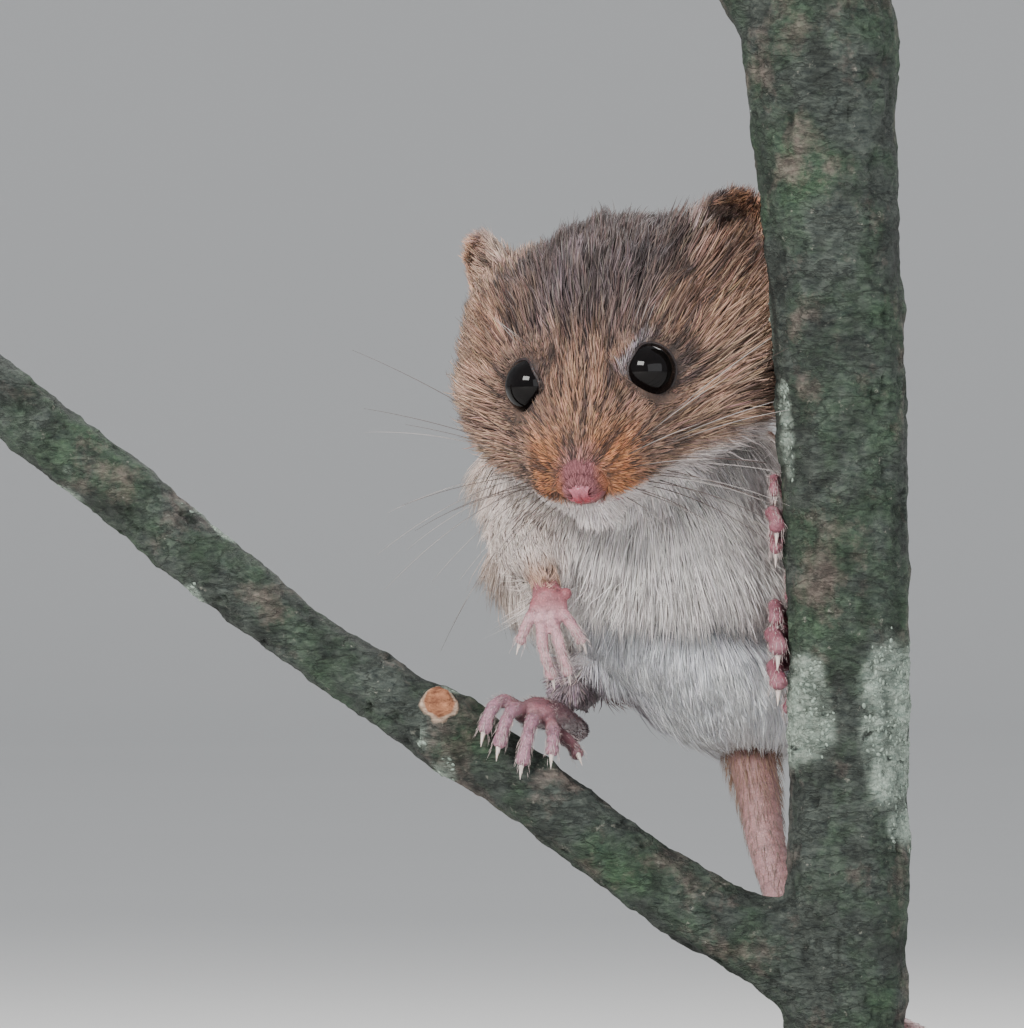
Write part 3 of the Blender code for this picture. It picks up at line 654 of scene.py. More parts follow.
def make_bark_finish():
    """Dark grey-green bark with tan bare places, green algae and pale lichen. The cut ends show the wood."""
    finish = Finish("bark", Specular_IOR_Level=0.25)
    place = finish.place()
    marks = ("cut wood", "lichen", "scar", "height")
    wood, lichen_place, scar, hollow = (finish.attribute(name) for name in marks)
    level = finish.add("Mapping", {"Vector": place, "Scale": (0.62, 0.62, 1.3)}).outputs[0]
    fibres = finish.noise(level, 2900.0, 8.0, roughness=0.72, distortion=0.6)
    fibre = finish.ramp(fibres, (0.32, 0.0), (0.68, 1.0))
    bark = finish.mix(fibre, (0.020, 0.027, 0.026), (0.100, 0.116, 0.098))
    bark = finish.mottled(bark, 420.0, 0.5)
    algae = finish.group(GROWTH, Size=190.0, More=0.53, Edge=0.22)
    bare = finish.group(GROWTH, Size=290.0, More=0.47, Edge=0.16)
    flecks = finish.group(GROWTH, Size=1700.0, More=0.37, Edge=0.06)
    crust = finish.group(GROWTH, Size=800.0, More=0.66, Edge=0.07)
    green = finish.mix(fibre, (0.016, 0.040, 0.022), (0.062, 0.120, 0.055))
    tan = finish.mix(fibre, (0.075, 0.056, 0.050), (0.250, 0.190, 0.165))
    pale = finish.mix(fibre, (0.140, 0.190, 0.160), (0.400, 0.460, 0.390))
    for cover, share, colour in (
        (algae, 0.75, green), (bare, 0.72, tan), (flecks, 0.55, (0.290, 0.280, 0.235)),
        (crust, lichen_place, pale),
    ):
        bark = finish.mix(finish.times(cover["Mask"], share), bark, colour)
    wide = finish.group(CRACKS, Size=620.0, Width=0.030)["Open"]
    close = finish.group(CRACKS, Size=1900.0, Width=0.050)["Open"]
    open_share = finish.times(wide, finish.fitted(close, 0.5, 0.5))
    # painted shade in the cracks: the bark darkened to 0.52 in their depth
    bark = finish.mix(1.0, bark, finish.ramp(open_share, (0.0, 0.52), (0.8, 1.0)), "MULTIPLY")
    # painted shade in the hollows of the bark's relief, read from its height
    bark = finish.mix(1.0, bark, finish.ramp(hollow, (0.2, 0.45), (0.6, 1.0)), "MULTIPLY")
    torn = finish.mix(fibre, (0.120, 0.040, 0.022), (0.420, 0.190, 0.100))
    rim = finish.mix(fibre, (0.260, 0.170, 0.120), (0.560, 0.420, 0.320))
    torn = finish.mix(finish.ramp(scar, (0.55, 0.0), (0.85, 1.0)), rim, torn)
    bark = finish.mix(finish.ramp(scar, (0.15, 0.0), (0.35, 1.0)), bark, torn)
    rings = finish.add(
        "TexWave", {"Vector": place, "Scale": 260.0, "Distortion": 3.0, "Detail": 2.0},
        wave_type="RINGS", rings_direction="Z",
    )
    sawn = finish.mix(rings.outputs["Fac"], (0.40, 0.29, 0.18), (0.62, 0.49, 0.33))
    finish.base(finish.mix(wood, bark, sawn))
    finish.feed(finish.shader["Roughness"], finish.fitted(fibres, 0.2, 0.7))
    relief = finish.fitted(fibres, 0.8, finish.times(open_share, 0.5))
    relief = finish.fitted(crust["Height"], finish.times(lichen_place, 1.2), relief)
    relief = finish.fitted(algae["Height"], 0.6, relief)
    finish.bump(relief, 0.0002, 0.8)
    return finish.material


def make_lichen_finish():
    finish = Finish("lichen crust", Roughness=0.9, Specular_IOR_Level=0.2)
    fine = finish.noise(finish.place(), 2600.0, 4.0)
    finish.base(finish.mottled(finish.mix(fine, (0.15, 0.20, 0.17), (0.38, 0.44, 0.37)), 700.0, 0.35))
    finish.bump(fine, 0.0001, 0.6)
    return finish.material


def make_stand_finish():
    """Satin dark grey paint on turned metal, a little paler where the edge is rubbed."""
    finish = Finish("stand finish", Metallic=0.0, Coat_Weight=0.25, Coat_Roughness=0.3)
    fine = finish.noise(finish.place(), 4200.0, 3.0)
    dust = finish.group(GROWTH, Size=160.0, More=0.42, Edge=0.3)["Mask"]
    paint_hue = finish.mottled((0.050, 0.048, 0.047), 240.0, 0.3)
    paint_hue = finish.mix(finish.times(dust, 0.12), paint_hue, (0.20, 0.19, 0.18))
    rubbed = finish.times(finish.attribute("edge"), fine)
    finish.base(finish.mix(rubbed, paint_hue, (0.24, 0.235, 0.23)))
    finish.feed(finish.shader["Roughness"], finish.fitted(dust, 0.2, 0.38))
    finish.bump(fine, 0.00004, 0.35)
    return finish.material


def make_floor_finish():
    finish = Finish("pale floor", Roughness=0.9, Specular_IOR_Level=0.15)
    finish.base(finish.mottled((0.74, 0.735, 0.72), 4.0, 0.02))
    return finish.material


COAT = make_coat_finish()
SKIN = make_skin_finish()
EYE = make_eye_finish()
HORN = make_horn_finish()
BARK = make_bark_finish()
LICHEN = make_lichen_finish()
STAND = make_stand_finish()
FLOOR = make_floor_finish()


# The stem and its stand

TWIG_SCAR = np.array((-3.65, -0.75, -9.3))
SCAR_FACES = np.array((0.03, -0.93, 0.36))
BRANCH_END_FACES = (-6.6, 0.5, 5.05)
BRANCH_END_X = -25.5
LICHEN_SPOTS = (  # x, height and size of the crusts on the stem's near side
    (14.3, -10.0, 1.9), (14.7, -8.3, 1.1), (19.0, -8.3, 1.6), (19.2, -10.6, 1.9), (18.9, -12.9, 1.3),
    (19.4, -15.6, 0.8), (13.5, 6.2, 0.30), (13.6, 5.4, 0.36), (13.7, 4.6, 0.34), (13.7, 3.7, 0.38),
    (13.8, 2.8, 0.32), (13.9, 2.1, 0.25),
)
BARK_CELL = 0.24
BARK_RELIEF = (  # lump size, seed and height of each kind of unevenness
    ((3.0, 3.0, 0.55), 5, 0.10), ((0.9, 0.9, 2.4), 11, 0.16), (2.2, 23, 0.16), (0.45, 37, 0.07),
)


def lichen_mask(points):
    mask = np.zeros(len(points))
    ragged = layered(points, (0.8, 0.8, 1.4), 73)
    for x, z, size in LICHEN_SPOTS:
        away = np.hypot(points[:, 0] - x, (points[:, 2] - z) * 0.7) / size + 0.30 * ragged
        mask = np.maximum(mask, rise(away, 1.15, 0.55) * rise(points[:, 1], 1.5, -0.5))
    elsewhere = layered(points, (3.2, 3.2, 4.5), 71)
    mask = np.maximum(mask, rise(elsewhere, 0.36, 0.5) * rise(points[:, 1], -1.0, 1.5))
    return np.clip(mask, 0, 1)


def build_perch():
    """The forked stem with rings, ridges and pits in its bark, the torn scar of a twig and sawn ends."""
    nodes = ("perch_stem", "perch_branch")
    mesh = remeshed(cad_shapes(nodes, GAP / 2 + 0.05), BARK_CELL)
    edges = edges_of(mesh)
    points = relaxed(points_of(mesh), edges, 4)
    set_points(mesh, points)
    normals = normals_of(mesh)
    at_ends = (points[:, 2] > STEM_TOP - 0.3) | (points[:, 2] < STEM_FOOT + 0.3)
    at_branch_end = points[:, 0] < BRANCH_END_X
    sawn = np.maximum(
        rise(np.abs(normals[:, 2]), 0.8, 0.95) * at_ends,
        rise(normals @ unit(np.array(BRANCH_END_FACES)), 0.8, 0.95) * at_branch_end,
    )
    height = sum(layered(points, size, seed) * deep for size, seed, deep in BARK_RELIEF)
    height = height - 0.22 * rise(layered(points, (0.6, 0.6, 1.1), 43), 0.42, 0.7)
    away = away_from(points, TWIG_SCAR) + 0.22 * layered(points, 0.6, 51)
    scar = rise(away, 1.45, 0.75) * rise(relaxed(normals, edges, 4) @ SCAR_FACES, 0.15, 0.6)
    height = height * (1 - scar) + layered(points, (0.35, 0.35, 0.8), 53) * 0.26 * scar
    proud = (points - TWIG_SCAR) @ SCAR_FACES
    points = points - SCAR_FACES * (scar * np.maximum(proud + 0.1, 0) * 0.75)[:, None]
    points = points - normals * 0.2 + normals * (height * (1 - sawn))[:, None]
    set_points(mesh, points)
    mark(mesh, "cut wood", sawn)
    mark(mesh, "scar", scar)
    mark(mesh, "lichen", lichen_mask(points) * (1 - sawn))
    # the relief's height, by which the bark finish paints shade in its hollows
    mark(mesh, "height", np.clip(0.5 + height * 1.6, 0, 1))
    return show(mesh, "bark", BARK, nodes)


LICHEN_SIZES = {"Where": "lichen", "Density": 7.0e6, "Size": 0.00015, "Seed": 4}


def scatter_tree():
    """Geometry nodes that scatter flat lumps over a surface where its named attribute is high."""
    kinds = {"Where": "String", "Density": "Float", "Size": "Float", "Seed": "Int"}
    inputs = [("Geometry", "Geometry", None)]
    inputs += [(label, kinds[label], value) for label, value in LICHEN_SIZES.items()]
    inputs += [("Finish", "Material", None)]
    works, given, made = new_group("lichen crumbs", inputs, (("Geometry", "Geometry"),), "GeometryNodeTree")
    seed = {"Seed": given["Seed"]}
    where = works.add("GeometryNodeInputNamedAttribute", {"Name": given["Where"]}, data_type="FLOAT")
    spread = works.add("GeometryNodeDistributePointsOnFaces", {
        "Mesh": given["Geometry"], "Density": works.times(where.outputs[0], given["Density"]), **seed,
    }).outputs
    crumb = works.add("GeometryNodeMeshIcoSphere", {"Subdivisions": 1, "Radius": given["Size"]})
    flat = works.add("GeometryNodeTransform", {"Geometry": crumb.outputs["Mesh"], "Scale": (1.0, 0.62, 0.20)})
    size = works.add("FunctionNodeRandomValue", {2: 0.45, 3: 1.35, **seed})
    lean = {0: (-0.35, -0.35, 0.0), 1: (0.35, 0.35, 6.283)}
    turn = works.add("FunctionNodeRandomValue", {**lean, **seed}, data_type="FLOAT_VECTOR")
    spun = works.add(
        "FunctionNodeRotateRotation", {0: spread["Rotation"], 1: turn.outputs[0]}, rotation_space="LOCAL",
    )
    stuck = works.add("GeometryNodeInstanceOnPoints", {
        "Points": spread["Points"], "Instance": flat.outputs["Geometry"], "Rotation": spun.outputs[0],
        "Scale": size.outputs[1],
    })
    real = works.add("GeometryNodeRealizeInstances", {"Geometry": stuck.outputs["Instances"]})
    done = works.add(
        "GeometryNodeSetMaterial", {"Geometry": real.outputs["Geometry"], "Material": given["Finish"]},
    )
    works.feed(made["Geometry"], done.outputs["Geometry"])
    return works.tree


def build_lichen(bark):
    carrier = put("carrier", bark.data)
    step = carrier.modifiers.new("grow", "NODES")
    step.node_group = scatter_tree()
    values = {**LICHEN_SIZES, "Finish": LICHEN}
    for item in step.node_group.interface.items_tree:
        if item.in_out == "INPUT" and item.name in values:
            step[item.identifier] = values[item.name]
    mesh = result_of(carrier)
    carrier.modifiers.clear()
    bpy.data.objects.remove(carrier)
    show_in_world(mesh, "lichen_crumbs")


PLINTH_RADIUS, PLINTH_THICK, PLINTH_RIM, FOOT_RIM = 23.0, 4.0, 0.8, 0.4
PIN_RADIUS = 1.2


def turned(name, centre, outline, segments, replaced):
    """A piece turned on a lathe: rows of radius, height and how worn it is, from its foot to its top."""
    points = []
    for radius, height, _ in outline:
        for k in range(segments):
            turn = 2 * math.pi * k / segments
            points.append((centre[0] + radius * math.cos(turn), centre[1] + radius * math.sin(turn), height))
    points += [(*centre, outline[0][1]), (*centre, outline[-1][1])]
    mesh = new_mesh(name, points, ring_faces(len(outline), segments))
    mark(mesh, "edge", np.append(np.repeat([wear for _, _, wear in outline], segments), (0.0, 0.0)))
    show(mesh, name, STAND, (replaced,))
    mesh.set_sharp_from_angle(angle=math.radians(35))


def build_stand():
    foot = BASE_TOP - PLINTH_THICK
    outline = [(PLINTH_RADIUS - 0.5, foot, 0.0)]
    for turn in np.linspace(0, math.pi / 2, 7):
        outline.append((
            PLINTH_RADIUS - FOOT_RIM + FOOT_RIM * math.sin(turn),
            foot + FOOT_RIM - FOOT_RIM * math.cos(turn), 0.3,
        ))
    for turn in np.linspace(0, math.pi / 2, 9):
        outline.append((
            PLINTH_RADIUS - PLINTH_RIM + PLINTH_RIM * math.cos(turn),
            BASE_TOP - PLINTH_RIM + PLINTH_RIM * math.sin(turn), math.sin(turn * 2) * 0.8,
        ))
    for inset, drop, wear in ((2.2, 0.0, 0.0), (2.5, 0.12, 0.2), (2.8, 0.0, 0.0)):
        outline.append((PLINTH_RADIUS - inset, BASE_TOP - drop, wear))
    outline += [(PLINTH_RADIUS * share, BASE_TOP, 0.0) for share in (0.7, 0.45, 0.2)]
    turned("stand_plinth", BASE_CENTRE, outline, 160, "stand_base")
    pin = [(PIN_RADIUS, BASE_TOP + 0.05, 0.2), (PIN_RADIUS, BASE_TOP + 4.6, 0.1)]
    pin.append((PIN_RADIUS - 0.05, STEM_FOOT - GAP - 0.02, 0.5))
    turned("stand_pin", (STEM_X[0], 0.0), pin, 48, "stand_rod")


# The bare parts: eyes, nose, paws, feet, claws and tail

PINK = np.array((0.385, 0.160, 0.190))
PALE_PINK = np.array((0.52, 0.300, 0.325))
RED_PINK = (0.315, 0.105, 0.120)
GRIP_PINK = (0.215, 0.062, 0.092)
DUSKY = np.array((0.165, 0.072, 0.086))
HORN_PALE = (0.64, 0.54, 0.49)
LID_DARK = (0.030, 0.020, 0.020)
SLEEVE_TAN = (0.36, 0.18, 0.13)


def build_eyes():
    for side, name in SIDES:
        bm = bmesh.new()
        add_ball(bm, eye_middle(side), (EYE_RADIUS,) * 3, segments=64, rings=40)
        show(mesh_from(bm, "eye"), f"eyeball_{name}", EYE, (f"eye_{name}",))


LID_TURNS, LID_ROLLS = 72, 8
LID_PROUD, LID_HALF_WIDTH = 0.08, 0.11


def build_lid_rims():
    """The thin dark margin of the lids, a ring on each eyeball round the opening."""
    bm = bmesh.new()
    for side, _ in SIDES:
        way, upward, nasal = eye_frame(side)
        points, faces = [], []
        for k in range(LID_TURNS):
            turn = 2 * math.pi * k / LID_TURNS
            spoke = upward * math.cos(turn) + nasal * math.sin(turn)
            open_to = math.radians(float(lid_angle(turn)) + 4.0)
            out = way * math.cos(open_to) + spoke * math.sin(open_to)
            along = spoke * math.cos(open_to) - way * math.sin(open_to)
            after = (k + 1) % LID_TURNS
            for j in range(LID_ROLLS):
                roll = 2 * math.pi * j / LID_ROLLS
                reach = EYE_RADIUS + 0.01 + LID_PROUD * math.cos(roll)
                points.append(eye_middle(side) + out * reach + along * LID_HALF_WIDTH * math.sin(roll))
                i = (j + 1) % LID_ROLLS
                faces.append((
                    k * LID_ROLLS + j, k * LID_ROLLS + i, after * LID_ROLLS + i, after * LID_ROLLS + j,
                ))
        add_shape(bm, points, faces)
    mesh = mesh_from(bm, "lids")
    paint(mesh, LID_DARK)
    mark(mesh, "bare", 1.0)
    show(mesh, "lid_rims", SKIN)


NOSE_CELL = 0.05


def build_nose():
    """The pink pad with comma-shaped nostrils, the cleft below it, its beaded skin and its soft collar."""
    bm = bmesh.new()
    add_ball(bm, head_at(*NOSE_MIDDLE), (0.90, 0.88, 0.80), HEAD_AXES, segments=96, rings=64)
    add_ball(bm, head_at(0, 5.7, -2.85), (1.34, 0.98, 1.26), HEAD_AXES, segments=64, rings=40)
    mesh = remeshed(bm, NOSE_CELL)
    points = relaxed(points_of(mesh), edges_of(mesh), 8)
    here = in_head(points)
    normals = normals_of(mesh)
    side = np.abs(here[:, 0])
    high = here[:, 2] - NOSE_MIDDLE[2]
    front = rise(here[:, 1], 6.1, 6.6)
    slit = np.hypot((side - 0.55 - 0.10 * high) / 0.12, (high + 0.05) / 0.20)
    tail_of_slit = np.hypot((side - 0.80) / 0.22, (high + 0.08) / 0.08)
    pit = np.maximum(rise(slit, 1.3, 0.4), 0.8 * rise(tail_of_slit, 1.3, 0.4)) * front
    cleft = rise(side, 0.12, 0.02) * rise(high, 0.25, -0.35) * front
    ridge = rise(np.abs(slit - 1.6), 0.5, 0.0) * front
    beads = grain(points, 0.11, 3) * 0.014
    height = -0.20 * pit - 0.10 * cleft + 0.05 * ridge + beads * (1 - pit)
    set_points(mesh, points + normals * height[:, None])
    # The pits of the nostrils and the cleft are painted dark, as the shade in these hollows.
    hue = layers_of(
        (0.40, 0.040, 0.055),
        ((0.36, 0.110, 0.140), rise(high, -0.75, 0.15)),
        ((0.22, 0.095, 0.095), rise(here[:, 1], 6.6, 6.1)),
        ((0.14, 0.03, 0.035), np.clip(pit * 0.95 + cleft * 0.4, 0, 1)),
    )
    paint(mesh, hue * (1 + 0.14 * layered(points, 0.3, 8))[:, None])
    mark(mesh, "bare", 1.5)
    show(mesh, "nose_pad", SKIN, ("nose",))
    return points, unit(normals)


DANGLING_PALM = ((1.82, -1.7, -4.7), (0.98, 0.50, 1.05))
PALM_PADS = (  # x, height and size
    (1.35, -5.05, 0.30), (1.8, -5.2, 0.32), (2.25, -5.05, 0.30), (1.4, -4.3, 0.38), (2.2, -4.25, 0.38),
)
DANGLING_DIGITS = (
    ((1.15, -1.8, -4.7), (0.72, -2.15, -5.55), (0.38, -2.3, -6.45)),
    ((1.42, -1.9, -5.0), (1.52, -2.4, -6.5), (1.75, -2.5, -7.4), (2.0, -2.25, -8.2)),
    ((1.98, -1.9, -5.0), (2.32, -2.4, -6.4), (2.58, -2.5, -7.25), (2.8, -2.25, -8.0)),
    ((2.42, -1.8, -4.75), (2.95, -2.2, -5.5), (3.25, -2.3, -5.95), (3.5, -2.15, -6.4)),
)
THUMB = ((2.45, -1.5, -4.0, 0.30), (2.82, -1.75, -3.95, 0.30))
GRIP_DIGITS = (  # height, how far round the stem the tip comes, and radius
    (1.9, 181, 0.28), (0.12, 197, 0.42), (-0.95, 188, 0.34), (-2.6, 142, 0.30),
)
GRIP_TOES = (
    (-3.5, 140, 0.36), (-4.5, 188, 0.40), (-5.95, 198, 0.50), (-7.7, 196, 0.48), (-9.0, 144, 0.38),
)
BRANCH_TOES = (
    ((0.4, 1.9, -9.75), (-0.45, 0.3, -9.35), (-1.05, -0.6, -9.8), (-1.4, -0.95, -10.9)),
    ((0.7, 1.7, -9.85), (0.05, -0.1, -9.8), (-0.35, -0.9, -10.5), (-0.65, -1.1, -11.6)),
    ((1.3, 1.6, -10.0), (0.98, -0.15, -10.4), (0.72, -0.98, -11.4), (0.5, -1.12, -12.5)),
    ((1.9, 1.8, -10.4), (2.05, 0.1, -10.9), (2.05, -0.75, -11.4), (1.98, -1.0, -12.0)),
    ((2.2, 3.4, -10.9), (3.0, 2.3, -11.6), (3.3, 1.6, -12.1)),
)
GRIP_SOLE = (
    (18.2, 11.0, -11.0, 1.05), (18.5, 8.4, -10.2, 0.95), (18.35, 5.8, -8.4, 0.95), (16.9, 4.55, -7.3, 1.15),
    (15.0, 3.9, -6.8, 1.25), (14.1, 3.1, -6.7, 1.0),
)
BRANCH_SOLE = (
    (3.0, 12.6, -11.0, 0.88), (3.0, 9.8, -10.8, 0.74), (2.7, 6.8, -10.5, 0.76), (1.9, 3.8, -10.1, 0.98),
    (1.2, 2.1, -9.95, 1.10),
)
SOLE_FLAT = 0.72
FOREARM_END = ((1.35, 1.0, -2.5, 0.40), (1.6, -0.3, -3.25, 0.58), (1.8, -1.3, -4.2, 0.82))
PAW_CELL = 0.085
PAW_OFF_BARK = 0.12


def digit_rows(points, radius):
    """A finger or toe: thick at its two joints, with a round pad under its tip."""
    rows = smooth_rows([(*p, 0) for p in points], 8)
    shaped = []
    for share, row in zip(np.arange(len(rows)) / (len(rows) - 1), rows):
        girth = 0.98 - 0.22 * share
        for place, wide, size in ((0.30, 0.06, 0.13), (0.62, 0.06, 0.13), (0.90, 0.08, 0.26)):
            girth += size * math.exp(-((share - place) / wide) ** 2)
        shaped.append((*row[:3], radius * girth))
    return shaped


def claw_rows(points, radius, down, length):
    """A curved claw from inside the tip of a digit."""
    tip, before = np.array(points[-1], float), np.array(points[-2], float)
    along = unit(tip - before)
    start = tip - along * 0.15 - down * 0.08
    rows = []
    for step in range(7):
        t = step / 6
        bend = down * 0.38 * t * t
        rows.append((*(start + (along * t + bend) * length), radius * (0.48 * (1 - t) + 0.04)))
    return rows


def grip_points(height, reach, start, root_height, radius):
    """A digit that comes round from behind the stem, and whose tip droops on its near side."""
    points = []
    for step in range(7):
        share = step / 6
        angle = start + (reach - start) * min(1.0, share * 1.25)
        level = root_height + (height - root_height) * min(1.0, 0.35 + share)
        droop = 0.95 * max(share - 0.62, 0.0) / 0.38
        points.append(tuple(round_stem(angle, level - droop, GAP + radius - 0.14)))
    return points


def every_digit():
    """Each digit's points, radius, the way that its claw turns down and the claw's length."""
    found = [(points, 0.305, (0, 0.25, -1.0), 0.62) for points in DANGLING_DIGITS]
    for digits, start, root_height, claw in ((GRIP_DIGITS, 125, -0.8, 0.75), (GRIP_TOES, 118, -6.8, 0.85)):
        for height, reach, radius in digits:
            points = grip_points(height, reach, start, root_height, radius)
            found.append((points, radius, (-0.2, -0.2, -1.0), claw))
    return found + [(points, 0.365, (0.1, 0.5, -0.9), 0.75) for points in BRANCH_TOES]


def turned_by(degrees, axis):
    return Matrix.Rotation(math.radians(degrees), 3, axis)


def paw_colour(points, creases):
    """Pale pink palms and digits, redder wrist and grip, and dusky soles, with painted shade in the creases.
    """
    x, y, z = points.T
    hand = (y < 2.0) & (x < 6) & (z > -8.9)
    foot = (x < 8) & ~hand & (z < -8.5)
    grip = rise(x, 11.5, 12.5)
    hue = layers_of(
        PINK,
        (PALE_PINK, rise(layered(points, 0.9, 61), -0.5, 0.5)),
        (PALE_PINK, rise(z, -4.9, -5.9) * hand * 0.8),
        (RED_PINK, rise(z, -5.2, -4.2) * hand * 0.9),
        (SLEEVE_TAN, rise(z, -3.6, -2.9) * hand * 0.7),
        (PALE_PINK * (0.66, 0.60, 0.70), foot * rise(y, 0.6, -0.4)),
        (DUSKY, foot * rise(y, -0.3, 1.8) * 0.9),
        (DUSKY * 0.6, foot * rise(y, 2.5, 5.0) * 0.9),
        (GRIP_PINK, grip * (0.72 - 0.25 * rise(z, -0.5, 0.6))),
        (DUSKY * 1.5, grip * rise(y, 4.0, 7.0) * 0.8),
    )
    # painted shade: the colour darkened by up to 0.35 where the creases are deepest
    return hue * (1 - 0.35 * rise(creases, 0.004, 0.02))[:, None]


def build_paws():
    bm = bmesh.new()
    add_ball(bm, *DANGLING_PALM, (turned_by(14, "X") @ turned_by(4, "Y")).transposed())
    for x, z, size in PALM_PADS:
        add_ball(bm, (x, -1.4, z), (size,) * 3, segments=14, rings=10)
    add_ball(bm, round_stem(118, -0.8, 0.95), (1.62, 0.8, 1.68), turned_by(28, "Z").transposed())
    add_tube(bm, smooth_rows(GRIP_SOLE, 5), 20)
    add_tube(bm, smooth_rows(BRANCH_SOLE, 5), 20, flat=SOLE_FLAT)
    add_ball(bm, (1.12, 1.75, -9.98), (1.12, 1.0, 0.66))
    add_ball(bm, BRANCH_SOLE[0][:3], (0.86, 0.8, 0.62))
    add_tube(bm, smooth_rows(FOREARM_END, 5), 20)
    add_tube(bm, smooth_rows(THUMB, 5), 12)
    claws = bmesh.new()
    for points, radius, down, length in every_digit():
        add_tube(bm, digit_rows(points, radius), 14)
        add_tube(claws, claw_rows(points, radius, unit(np.array(down)), length), 10, blunt=0.3)
    mesh = remeshed(bm, PAW_CELL)
    points = relaxed(points_of(mesh), edges_of(mesh), 2)
    pressed = np.maximum(PAW_OFF_BARK - from_stem(points), 0)
    points += unit(points - stem_axis(points)) * pressed[:, None]
    set_points(mesh, points)
    normals = normals_of(mesh)
    creases = rise(np.abs(grain(points, (0.5, 0.5, 0.16), 65)), 0.16, 0.0) * 0.022
    set_points(mesh, points - normals * creases[:, None])
    paint(mesh, paw_colour(points, creases))
    mark(mesh, "bare", 1.0)
    nodes = ("forepaw_right", "forepaw_left", "hind_foot_right", "hind_foot_left")
    show(mesh, "paws_and_feet", SKIN, nodes)
    horn = mesh_from(claws, "claws")
    paint(horn, HORN_PALE)
    show(horn, "claws", HORN)


TAIL_ROOT_ROWS = (
    (11.9, 9.6, -10.6), (12.1, 8.6, -12.2), (12.5, 7.1, -14.6), (12.95, 5.7, -17.2), (14.0, 4.9, -20.2),
    (15.5, 4.5, -23.2),
)
TAIL_LENGTH = 56.0
TAIL_RADII = ((0.0, 1.5), (0.06, 1.15), (0.14, 0.95), (0.4, 0.82), (0.7, 0.62), (1.0, 0.34))
TAIL_WIND = (90.0, -25.3)  # the angle and the height at which it begins to wind round the stem
TAIL_STEP = 14  # degrees
TAIL_PITCH = 6.4  # millimetres down a turn
TAIL_ROWS, TAIL_SIDES = 470, 22
TAIL_RING = 0.42
TAIL_HUES = ((0.24, 0.110, 0.092), (0.40, 0.215, 0.225), (0.50, 0.31, 0.31))  # root, tip and underside


def tail_radius(share):
    return float(np.interp(share, *zip(*TAIL_RADII)))


def tail_line():
    """Points of the tail, which hangs behind the fork and winds round the stem, and how far along each is."""
    points = [np.array(p) for p in smooth_rows(TAIL_ROOT_ROWS, 4)]
    run = sum(np.linalg.norm(b - a) for a, b in zip(points, points[1:]))
    angle, height = TAIL_WIND
    while run / TAIL_LENGTH < 1.0:
        point = round_stem(angle, height, GAP + tail_radius(run / TAIL_LENGTH) + 0.05)
        run += np.linalg.norm(point - points[-1])
        points.append(point)
        angle -= TAIL_STEP
        height -= TAIL_PITCH * TAIL_STEP / 360
    runs = np.concatenate([[0], np.cumsum([np.linalg.norm(b - a) for a, b in zip(points, points[1:])])])
    return np.array(points), runs


def build_tail():
    line, runs = tail_line()
    total = runs[-1]
    at = np.linspace(0, total, TAIL_ROWS)
    centres = np.column_stack([np.interp(at, runs, line[:, k]) for k in range(3)])
    for _ in range(14):
        centres[1:-1] = (centres[:-2] + centres[2:]) / 2 * 0.5 + centres[1:-1] * 0.5
    radii = np.array([tail_radius(s) for s in at / total]) - 0.04
    ring = (at / TAIL_RING) % 1.0
    radii = radii * (1 + 0.05 * (ring - 0.5) * rise(at, 2.5, 4.0))
    mesh = new_mesh("tail", *tube(np.column_stack((centres, radii)), TAIL_SIDES))
    around = np.concatenate([np.repeat(ring, TAIL_SIDES), [0.5, 0.5]])
    along = np.concatenate([np.repeat(at / total, TAIL_SIDES), [0, 1]])
    root, tip, under = TAIL_HUES
    facing = rise(normals_of(mesh)[:, 1], 0.6, -0.6)
    hue = layers_of(root, (tip, rise(along, 0.04, 0.20)), (under, facing * 0.35))
    paint(mesh, hue * mixed(1.0, 0.74, rise(around, 0.86, 1.0))[:, None])
    mark(mesh, "bare", 0.7)
    show(mesh, "tail", SKIN, [f"tail_{k}" for k in range(1, 6)])
    return centres, radii


# The furred skin, and where and how its coat grows

COAT_TABLE = {  # hair length, lift in degrees, half width, tufts to the square millimetre, coat's depth
    "head": (2.2, 19, 0.050, 40, 0.60),
    "neck": (2.8, 20, 0.056, 42, 0.95),
    "chest": (3.0, 21, 0.040, 76, 1.0),
    "belly": (2.3, 17, 0.040, 72, 0.85),
    "foreleg_right": (1.35, 17, 0.042, 66, 0.34),
    "foreleg_left": (1.8, 20, 0.052, 44, 0.6),
    "thigh_right": (2.6, 22, 0.056, 40, 0.9),
    "thigh_left": (2.4, 20, 0.066, 34, 0.9),
    "shank_right": (0.65, 9, 0.038, 84, 0.2),
    "shank_left": (1.4, 18, 0.054, 44, 0.4),
    "ear_right": (0.85, 30, 0.030, 120, 0.16),
    "ear_left": (0.85, 30, 0.030, 120, 0.16),
}
FURRED = tuple(COAT_TABLE)
EARS = ("ear_right", "ear_left")
LIMB_WAYS = {
    "foreleg_right": ((2.9, 9.2, 2.2), (1.0, 3.5, -1.6), (1.75, -1.15, -4.0)),
    "foreleg_left": ((11.4, 9.4, 2.2), (15.5, 9.0, -1.2), (15.1, 5.5, -1.0)),
    "thigh_right": ((5.8, 14.8, -4.2), (4.4, 10.5, -4.7), (4.1, 6.6, -6.4)),
    "thigh_left": ((13.8, 14.8, -4.6), (15.4, 11.0, -5.0), (16.6, 8.2, -6.0)),
    "shank_right": ((3.2, 6.5, -8.2), (2.9, 9.5, -9.3), (2.95, 11.9, -10.1)),
    "shank_left": ((16.8, 8.8, -6.4), (17.9, 10.2, -8.7), (18.2, 10.5, -10.3)),
}
TAIL_ROOT = np.array((12.0, 9.2, -11.6))
SLATE = np.array((0.105, 0.092, 0.095))
BLACK_BROWN = np.array((0.040, 0.030, 0.031))
CROWN = np.array((0.112, 0.080, 0.072))
